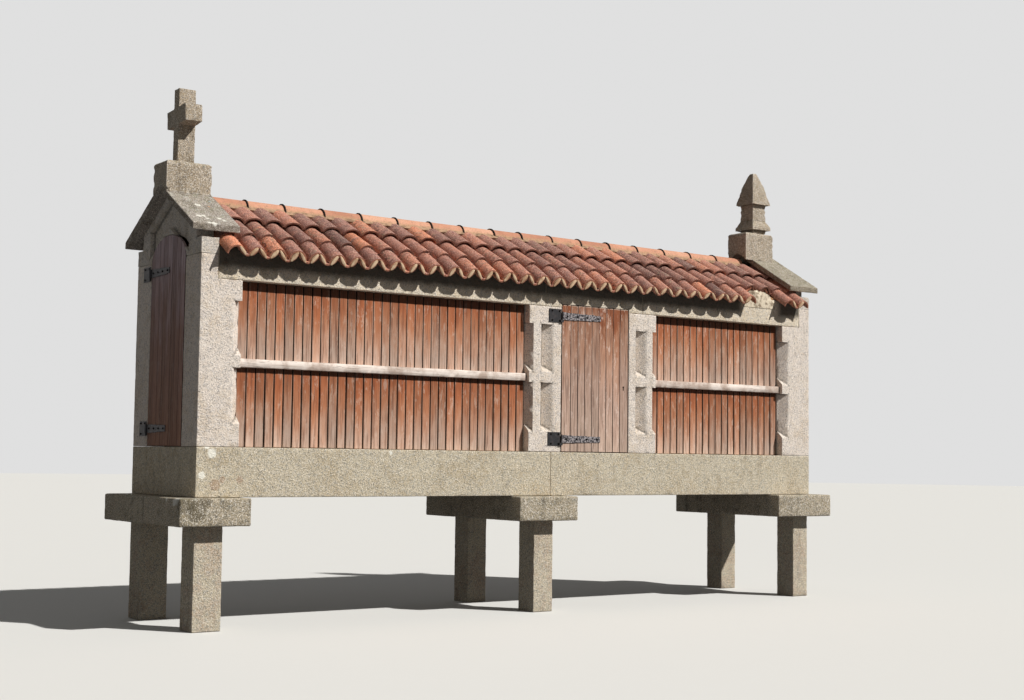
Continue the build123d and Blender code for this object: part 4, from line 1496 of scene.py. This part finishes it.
@dataclass
class BoardedWalls:
    """The upright boards of every bay, with battens behind them and rails before them."""

    edge: float = 0.0045
    tuck: float = 0.004
    gaps: tuple[float, float] = (0.004, 0.0065)
    narrowest: float = 0.02
    stand: float = 0.002
    foot_gap: float = 0.004
    lean: float = 0.07
    lean_level: float = 2.22
    batten_levels: tuple[tuple[float, float], ...] = ((1.60, 1.69), (2.19, 2.27), (2.80, 2.90))
    batten_depth: float = 0.035
    batten_edge: float = 0.002
    rail_face: float = -0.647
    rail_short: float = 0.007
    rail_edge: float = 0.005
    chance: random.Random = field(default_factory=lambda: random.Random(31))

    def boards(self, bay: Bay, rear: bool) -> list[tuple[bmesh.types.BMesh, Triple]]:
        """The boards of a bay, each with its mark.

        Args:
            bay: The bay.
            rear: True for the rear wall.

        Returns:
            A shape and a mark for each board.
        """
        shift = bay.pitch / 2 if rear else 0.0
        count = int((bay.end - bay.first_seam - shift) / bay.pitch) + 1
        seams = [bay.first_seam + shift + number * bay.pitch for number in range(count)]
        seams = [bay.start - self.tuck, *seams, bay.end + self.tuck]
        made = []
        for first, last in zip(seams, seams[1:]):
            gap = self.chance.uniform(*self.gaps)
            if last - first < self.narrowest:
                continue
            depth = self.chance.uniform(-self.stand, 0.0)
            low = BEAM_TOP + self.chance.uniform(0.0, self.foot_gap)
            shape = block((first + gap, BOARD_FACE - depth, low),
                          (last - gap, BOARD_BACK - depth, LINTEL_BOTTOM), self.edge)
            lean = Matrix.Rotation(math.radians(self.chance.uniform(-self.lean, self.lean)), 4, "Y")
            middle = Vector(((first + last) / 2, 0.0, self.lean_level))
            place = Matrix.Translation(middle) @ lean @ Matrix.Translation(-middle)
            if rear:
                place = Matrix.Rotation(math.pi, 4, "Z") @ Matrix.Translation((-first - last, 0.0, 0.0)) \
                    @ place
            shape.transform(place)
            made.append((shape, (self.chance.random(), self.chance.random(), 0.0)))
        return made

    def build(self) -> None:
        """Board every bay and set its battens and rails."""
        groups = (("boards_front_left", (LEFT_BAY,), False),
                  ("boards_front_right", (RIGHT_BAY,), False),
                  ("boards_rear", (LEFT_BAY, MIDDLE_BAY, RIGHT_BAY), True))
        for node, bays, rear in groups:
            blank = Blank()
            for bay in bays:
                for shape, mark in self.boards(bay, rear):
                    blank.take(shape, mark)
            blank.piece(f"split_{node}", BAY_WOOD, replaces=[node])
        self.battens()
        self.rails()

    def battens(self) -> None:
        """The battens that hold the boards from inside."""
        blank = Blank()
        bays = ((LEFT_BAY, -1), (RIGHT_BAY, -1), (LEFT_BAY, 1), (MIDDLE_BAY, 1), (RIGHT_BAY, 1))
        for bay, side in bays:
            for low, high in self.batten_levels:
                near, far = sorted((side * -BOARD_BACK, side * (-BOARD_BACK - self.batten_depth)))
                blank.take(block((bay.start + self.tuck, near, low), (bay.end - self.tuck, far, high),
                                 self.batten_edge))
        blank.piece("inner_battens", INNER_WOOD)

    def rails(self) -> None:
        """The weathered rails across the bays."""
        for node, bays, side in (("rails_front", (LEFT_BAY, RIGHT_BAY), -1),
                                 ("rails_rear", (LEFT_BAY, MIDDLE_BAY, RIGHT_BAY), 1)):
            blank = Blank()
            for bay in bays:
                short = self.rail_short if bay is LEFT_BAY and side < 0 else 0.0
                near, far = sorted((side * -self.rail_face, side * -BOARD_FACE))
                rail = block((bay.start, near, RAIL_BOTTOM), (bay.end - short, far, RAIL_TOP),
                             self.rail_edge)
                rail.verts.layers.float_vector.new(MARK)
                Wear(step=0.03, wave=0.003, chip=0.006, seed=side + bay.start).apply(rail)
                blank.take(rail)
            blank.piece(f"worn_{node}", RAIL_WOOD, replaces=[node], sharp=50.0)


def bolt(radius: float, height: float) -> bmesh.types.BMesh:
    """A domed bolt head on the XY plane, pointing up.

    Args:
        radius: The radius at its foot.
        height: The height of its rim.

    Returns:
        A new bmesh.
    """
    shape = bmesh.new()
    bmesh.ops.create_cone(shape, cap_ends=True, segments=10, radius1=radius, radius2=radius * 0.82,
                          depth=height)
    bmesh.ops.translate(shape, vec=(0.0, 0.0, height / 2), verts=shape.verts)
    top = max(shape.faces, key=lambda face: face.calc_center_median().z)
    bmesh.ops.inset_individual(shape, faces=[top], thickness=radius * 0.3, depth=height * 0.35)
    return shape


@dataclass
class SideDoor:
    """The boarded side door, with the ledges inside and its keyhole."""

    left: float = 0.176
    right: float = 1.014
    bottom: float = 1.526
    top: float = 2.951
    face: float = FRONT
    back: float = -0.644
    board_depth: float = 0.024
    board_edge: float = 0.0024
    gaps: tuple[float, float] = (0.0018, 0.0042)
    deepest: float = 0.003
    seams: tuple[float, ...] = (0.287, 0.374, 0.461, 0.549, 0.638, 0.727, 0.817, 0.907)
    ledge_levels: tuple[tuple[float, float], ...] = ((1.55, 1.79), (2.73, 2.93))
    ledge_inset: float = 0.02
    ledge_edge: float = 0.002
    keyhole: tuple[float, float] = (0.953, 2.164)
    slit_half: float = 0.0045
    slit_below: float = 0.022
    eye_above: float = 0.012
    eye_radius: float = 0.008
    hole_depth: float = 0.004
    hole_stand: float = 0.0006
    chance: random.Random = field(default_factory=lambda: random.Random(19))

    def build(self) -> None:
        """Build the leaf and its keyhole."""
        leaf = Blank()
        edges = [self.left, *self.seams, self.right]
        for first, last in zip(edges, edges[1:]):
            gap = self.chance.uniform(*self.gaps)
            recess = self.chance.uniform(0.0, self.deepest)
            board = block((first + gap, self.face + recess, self.bottom),
                          (last - gap, self.face + self.board_depth, self.top), self.board_edge)
            leaf.take(board, (self.chance.random(), self.chance.random(), 0.0))
        for low, high in self.ledge_levels:
            ledge = block((self.left + self.ledge_inset, self.face + self.board_depth, low),
                          (self.right - self.ledge_inset, self.back, high), self.ledge_edge)
            leaf.take(ledge, (0.5, self.chance.random(), 0.0))
        leaf.piece("side_door_leaf", SIDE_WOOD, Body.SIDE_DOOR, ["side_door"])
        self.set_keyhole_shade()

    def set_keyhole_shade(self) -> None:
        """Set a dark block shaped like the keyhole, a slit under a round eye, on the leaf's face: painted
        shade where the hole is.
        """
        hole = Blank()
        x, z = self.keyhole
        face = self.face - self.hole_stand
        hole.take(block((x - self.slit_half, face, z - self.slit_below),
                        (x + self.slit_half, face + self.hole_depth, z + self.eye_above), 0.001))
        eye = bmesh.new()
        bmesh.ops.create_cone(eye, cap_ends=True, segments=14, radius1=self.eye_radius,
                              radius2=self.eye_radius, depth=self.hole_depth)
        place = Matrix.Translation((x, face + self.hole_depth / 2, z + self.eye_above))
        eye.transform(place @ Matrix.Rotation(math.pi / 2, 4, "X"))
        hole.take(eye)
        hole.piece("side_door_keyhole", HOLE_SHADE_AND_BOLT_BLACK, Body.SIDE_DOOR)


@dataclass
class GableDoor:
    """The round-headed boarded door in the left gable."""

    half_width: float = 0.359
    rise: float = 0.214
    bottom: float = 1.526
    face: float = GABLE_FACE
    depth: float = 0.036
    board_depth: float = 0.024
    boards: int = 8
    gaps: tuple[float, float] = (0.0008, 0.002)
    deepest: float = 0.002
    facets: int = 6
    ledge_inset: float = 0.02
    ledge_edge: float = 0.002
    ledge_levels: tuple[tuple[float, float], ...] = ((1.60, 1.75), (2.30, 2.43), (2.95, 3.08))
    chance: random.Random = field(default_factory=lambda: random.Random(23))

    def head(self, y: float) -> float:
        """The height of the door's curved head at a distance from its middle."""
        share = min(1.0, abs(y) / self.half_width)
        return HEAD_BOTTOM + self.rise * math.sqrt(max(0.0, 1.0 - share * share))

    def build(self) -> None:
        """Build the leaf board by board."""
        leaf = Blank()
        width = 2 * self.half_width / self.boards
        for number in range(self.boards):
            first = -self.half_width + number * width
            gap = self.chance.uniform(*self.gaps)
            recess = self.chance.uniform(0.0, self.deepest)
            board = block((self.face + recess, first + gap, self.bottom),
                          (self.face + self.board_depth, first + width - gap, HEAD_BOTTOM))
            for cut in range(1, self.facets):
                place = first + gap + (width - 2 * gap) * cut / self.facets
                bmesh.ops.bisect_plane(board, geom=geometry(board), dist=CUT_GAP,
                                       plane_co=(0.0, place, 0.0), plane_no=Axis.Y.value)
            for vert in board.verts:
                if vert.co.z > HEAD_BOTTOM - 0.001:
                    vert.co.z = self.head(vert.co.y)
            leaf.take(board, (self.chance.random(), self.chance.random(), 0.0))
        for low, high in self.ledge_levels:
            ledge = block((self.face + self.board_depth, -self.half_width + self.ledge_inset, low),
                          (self.face + self.depth, self.half_width - self.ledge_inset, high),
                          self.ledge_edge)
            leaf.take(ledge, (0.5, self.chance.random(), 0.0))
        leaf.piece("gable_door_leaf", GABLE_WOOD, Body.GABLE_DOOR, ["gable_door"])


@dataclass
class Ironwork:
    """The hinge straps and plates of both doors, with their bolts."""

    edge: float = 0.0014
    sharp: float = 50.0
    step: float = 0.016
    waver: float = 0.005
    side_pin: float = 0.173
    side_strap_face: float = -0.687
    side_plate_face: float = -0.686
    side_levels: tuple[float, float] = (1.647, 2.840)
    side_reaches: tuple[float, ...] = (0.06, 0.185, 0.31, 0.44)
    gable_pin: float = 0.362
    gable_strap_face: float = -3.617
    gable_plate_face: float = -3.616
    gable_levels: tuple[float, float] = (1.675, 3.040)
    gable_reaches: tuple[float, ...] = (0.06, 0.16, 0.26, 0.365)
    plate_bolts: tuple[tuple[float, float], ...] = ((0.036, -0.046), (0.036, 0.046), (0.126, -0.046),
                                                    (0.126, 0.046))
    bolt_radius: float = 0.0095
    bolt_height: float = 0.006
    bolt_mark: Triple = (0.9, 0.5, 0.0)

    def forged(self, node: str, body: Body) -> None:
        """Take the sharp edges off a CAD node of iron, and make it wavy where it is a strap.

        Args:
            node: The name of the node.
            body: The body that it rides on.
        """
        shape = merged_copy(node)
        sharp = [edge for edge in shape.edges if edge.calc_face_angle(0.0) > math.radians(self.sharp)]
        bmesh.ops.bevel(shape, geom=sharp, offset=self.edge, segments=1, profile=0.5, affect="EDGES",
                        material=-1, clamp_overlap=True)
        finish = IRON
        if node.endswith("straps"):
            finish = STRAP_IRON if body is Body.SIDE_DOOR else IRON
            gridded(shape, self.step)
            for vert in shape.verts:
                vert.co.z += noise.noise(vert.co * 26.0) * self.waver
        finished(shape, f"forged_{node}", finish, body, [node], 30.0)

    def bolts(self, name: str, body: Body, places: list[Matrix]) -> None:
        """Drive bolts at given places.

        Args:
            name: The name of the piece that their heads make.
            body: The body that they ride on.
            places: The frame of each head.
        """
        blank = Blank()
        for place in places:
            blank.take(bolt(self.bolt_radius, self.bolt_height), self.bolt_mark, place)
        blank.piece(name, HOLE_SHADE_AND_BOLT_BLACK, body)

    def build(self) -> None:
        """Forge the straps and plates and drive their bolts."""
        for node, body in (("side_door_straps", Body.SIDE_DOOR), ("side_door_plates", Body.GRANARY),
                           ("gable_door_straps", Body.GABLE_DOOR),
                           ("gable_door_plates", Body.GRANARY)):
            self.forged(node, body)
        outward = Matrix.Rotation(math.pi / 2, 4, "X")
        straps = [Matrix.Translation((self.side_pin + reach, self.side_strap_face, level)) @ outward
                  for level in self.side_levels for reach in self.side_reaches]
        self.bolts("side_strap_bolts", Body.SIDE_DOOR, straps)
        plates = [Matrix.Translation((self.side_pin - reach, self.side_plate_face, level + rise))
                  @ outward for level in self.side_levels for reach, rise in self.plate_bolts]
        self.bolts("side_plate_bolts", Body.GRANARY, plates)
        outward = Matrix.Rotation(-math.pi / 2, 4, "Y")
        straps = [Matrix.Translation((self.gable_strap_face, self.gable_pin - reach, level)) @ outward
                  for level in self.gable_levels for reach in self.gable_reaches]
        self.bolts("gable_strap_bolts", Body.GABLE_DOOR, straps)
        plates = [Matrix.Translation((self.gable_plate_face, self.gable_pin + reach, level + rise))
                  @ outward for level in self.gable_levels for reach, rise in self.plate_bolts]
        self.bolts("gable_plate_bolts", Body.GRANARY, plates)


@dataclass
class InnerTimbers:
    """The floor planks, the ridge beam and the roof boards."""

    planks: int = 5
    half_width: float = 0.36
    lengths: tuple[tuple[float, float], ...] = ((-3.447, -1.2), (-1.197, 1.3), (1.303, 3.447))
    side_length: tuple[float, float] = (-3.22, 3.185)
    side_width: tuple[float, float] = (0.3615, 0.425)
    gap: float = 0.0015
    edge: float = 0.002
    low: float = BEAM_TOP
    high: float = 1.560

    def build(self) -> None:
        """Lay the planks and dress the timbers that stay."""
        blank = Blank()
        width = 2 * self.half_width / self.planks
        for number in range(self.planks):
            first = -self.half_width + number * width
            for start, end in self.lengths:
                blank.take(block((start, first + self.gap, self.low),
                                 (end, first + width - self.gap, self.high), self.edge))
        start, end = self.side_length
        for side in (-1, 1):
            near, far = sorted(side * away for away in self.side_width)
            blank.take(block((start, near, self.low), (end, far, self.high), self.edge))
        blank.piece("floor_boards", INNER_WOOD, replaces=["floor_planks"])
        dress("ridge_beam", INNER_WOOD)
        dress("roof_boards", INNER_WOOD)


@dataclass
class Setting:
    """The floor, the soft light and the camera."""

    camera_place: Triple = (-8.878, -12.428, 1.469)
    yaw: float = 35.74
    pitch: float = 3.99
    roll: float = 0.73
    lens: float = 53.81
    sensor: float = 36.0
    sight: float = 400.0
    sun_azimuth: float = 34.0
    sun_height: float = 41.0
    sun_strength: float = 4.4
    sun_softness: float = 1.3
    sun_colour: Triple = (1.0, 0.985, 0.96)
    sky: float = 0.15
    backdrop: float = 0.93
    floor_radius: float = 90.0
    floor_tone: RGBA = tint(226, 225, 221)
    floor_speck: RGBA = tint(214, 213, 209)
    floor_bounce: RGBA = tint(104, 105, 107)

    def camera(self) -> None:
        """Set up the camera at the place from which the granary was seen."""
        yaw = math.radians(self.yaw)
        pitch = math.radians(self.pitch)
        roll = math.radians(self.roll)
        forward = Vector((math.sin(yaw) * math.cos(pitch), math.cos(yaw) * math.cos(pitch),
                          math.sin(pitch)))
        right = Vector((math.cos(yaw), -math.sin(yaw), 0.0))
        down = forward.cross(right)
        side = right * math.cos(roll) - down * math.sin(roll)
        under = right * math.sin(roll) + down * math.cos(roll)
        turn = Matrix((side, -under, -forward)).transposed()
        data = bpy.data.cameras.new("view")
        data.lens = self.lens
        data.sensor_width = self.sensor
        data.sensor_fit = "HORIZONTAL"
        data.clip_end = self.sight
        holder = bpy.data.objects.new("view", data)
        holder.location = self.camera_place
        holder.rotation_euler = turn.to_euler()
        bpy.context.scene.collection.objects.link(holder)
        bpy.context.scene.camera = holder

    def key_light(self) -> None:
        """Hang one soft lamp to the front right."""
        lamp = bpy.data.lights.new("key", "SUN")
        lamp.energy = self.sun_strength
        lamp.angle = math.radians(self.sun_softness)
        lamp.color = self.sun_colour
        holder = bpy.data.objects.new("key", lamp)
        azimuth = math.radians(self.sun_azimuth)
        height = math.radians(self.sun_height)
        towards = Vector((math.sin(azimuth) * math.cos(height), -math.cos(azimuth) * math.cos(height),
                          math.sin(height)))
        holder.rotation_euler = towards.to_track_quat("Z", "Y").to_euler()
        bpy.context.scene.collection.objects.link(holder)

    def sky_light(self) -> None:
        """An even sky that lights weakly and is seen as a pale backdrop."""
        world = bpy.data.worlds.new("sky")
        world.use_nodes = True
        tree = world.node_tree
        tree.nodes.clear()
        path = tree.nodes.new("ShaderNodeLightPath")
        mirrored = tree.nodes.new("ShaderNodeMath")
        mirrored.operation = "MAXIMUM"
        tree.links.new(path.outputs["Is Glossy Ray"], mirrored.inputs[0])
        tree.links.new(path.outputs["Is Transmission Ray"], mirrored.inputs[1])
        seen = tree.nodes.new("ShaderNodeMath")
        seen.operation = "MAXIMUM"
        tree.links.new(path.outputs["Is Camera Ray"], seen.inputs[0])
        tree.links.new(mirrored.outputs[0], seen.inputs[1])
        strength = tree.nodes.new("ShaderNodeMapRange")
        strength.inputs["To Min"].default_value = self.sky
        strength.inputs["To Max"].default_value = self.backdrop
        tree.links.new(seen.outputs[0], strength.inputs["Value"])
        shader = tree.nodes.new("ShaderNodeBackground")
        tree.links.new(strength.outputs["Result"], shader.inputs["Strength"])
        output = tree.nodes.new("ShaderNodeOutputWorld")
        tree.links.new(shader.outputs[0], output.inputs["Surface"])
        bpy.context.scene.world = world

    def floor(self) -> None:
        """A wide pale floor that fades into the backdrop."""
        shape = bmesh.new()
        bmesh.ops.create_circle(shape, cap_ends=True, segments=64, radius=self.floor_radius)
        mesh = bpy.data.meshes.new("floor")
        shape.to_mesh(mesh)
        shape.free()
        bench = Bench("studio_floor")
        speck = bench.noise(bench.place(), 3.0, 2.0)
        pale = bench.blend(speck * 0.06, self.floor_tone, self.floor_speck)
        mirrored = bench.maths("MAXIMUM", bench.node("ShaderNodeLightPath", output="Is Glossy Ray"),
                               bench.node("ShaderNodeLightPath", output="Is Transmission Ray"))
        seen = bench.maths("MAXIMUM", bench.node("ShaderNodeLightPath", output="Is Camera Ray"),
                           mirrored)
        colour = bench.blend(seen, self.floor_bounce, pale)
        bench.surface(colour, 0.9, specular=0.1)
        mesh.materials.append(bench.material)
        holder = bpy.data.objects.new("floor", mesh)
        bpy.context.scene.collection.objects.link(holder)

    def build(self) -> None:
        """Set floor, light and camera, and the plain view transform."""
        bpy.context.scene.view_settings.view_transform = "Standard"
        self.camera()
        self.key_light()
        self.sky_light()
        self.floor()


def main() -> None:
    """Build the granary piece by piece."""
    logging.basicConfig(level=logging.INFO, format="%(message)s")
    Setting().build()
    Stonework().build()
    TiledRoof().build()
    BareBed().build()
    RidgeRow().build()
    BoardedWalls().build()
    SideDoor().build()
    GableDoor().build()
    Ironwork().build()
    InnerTimbers().build()


if __name__ == "__main__":
    main()
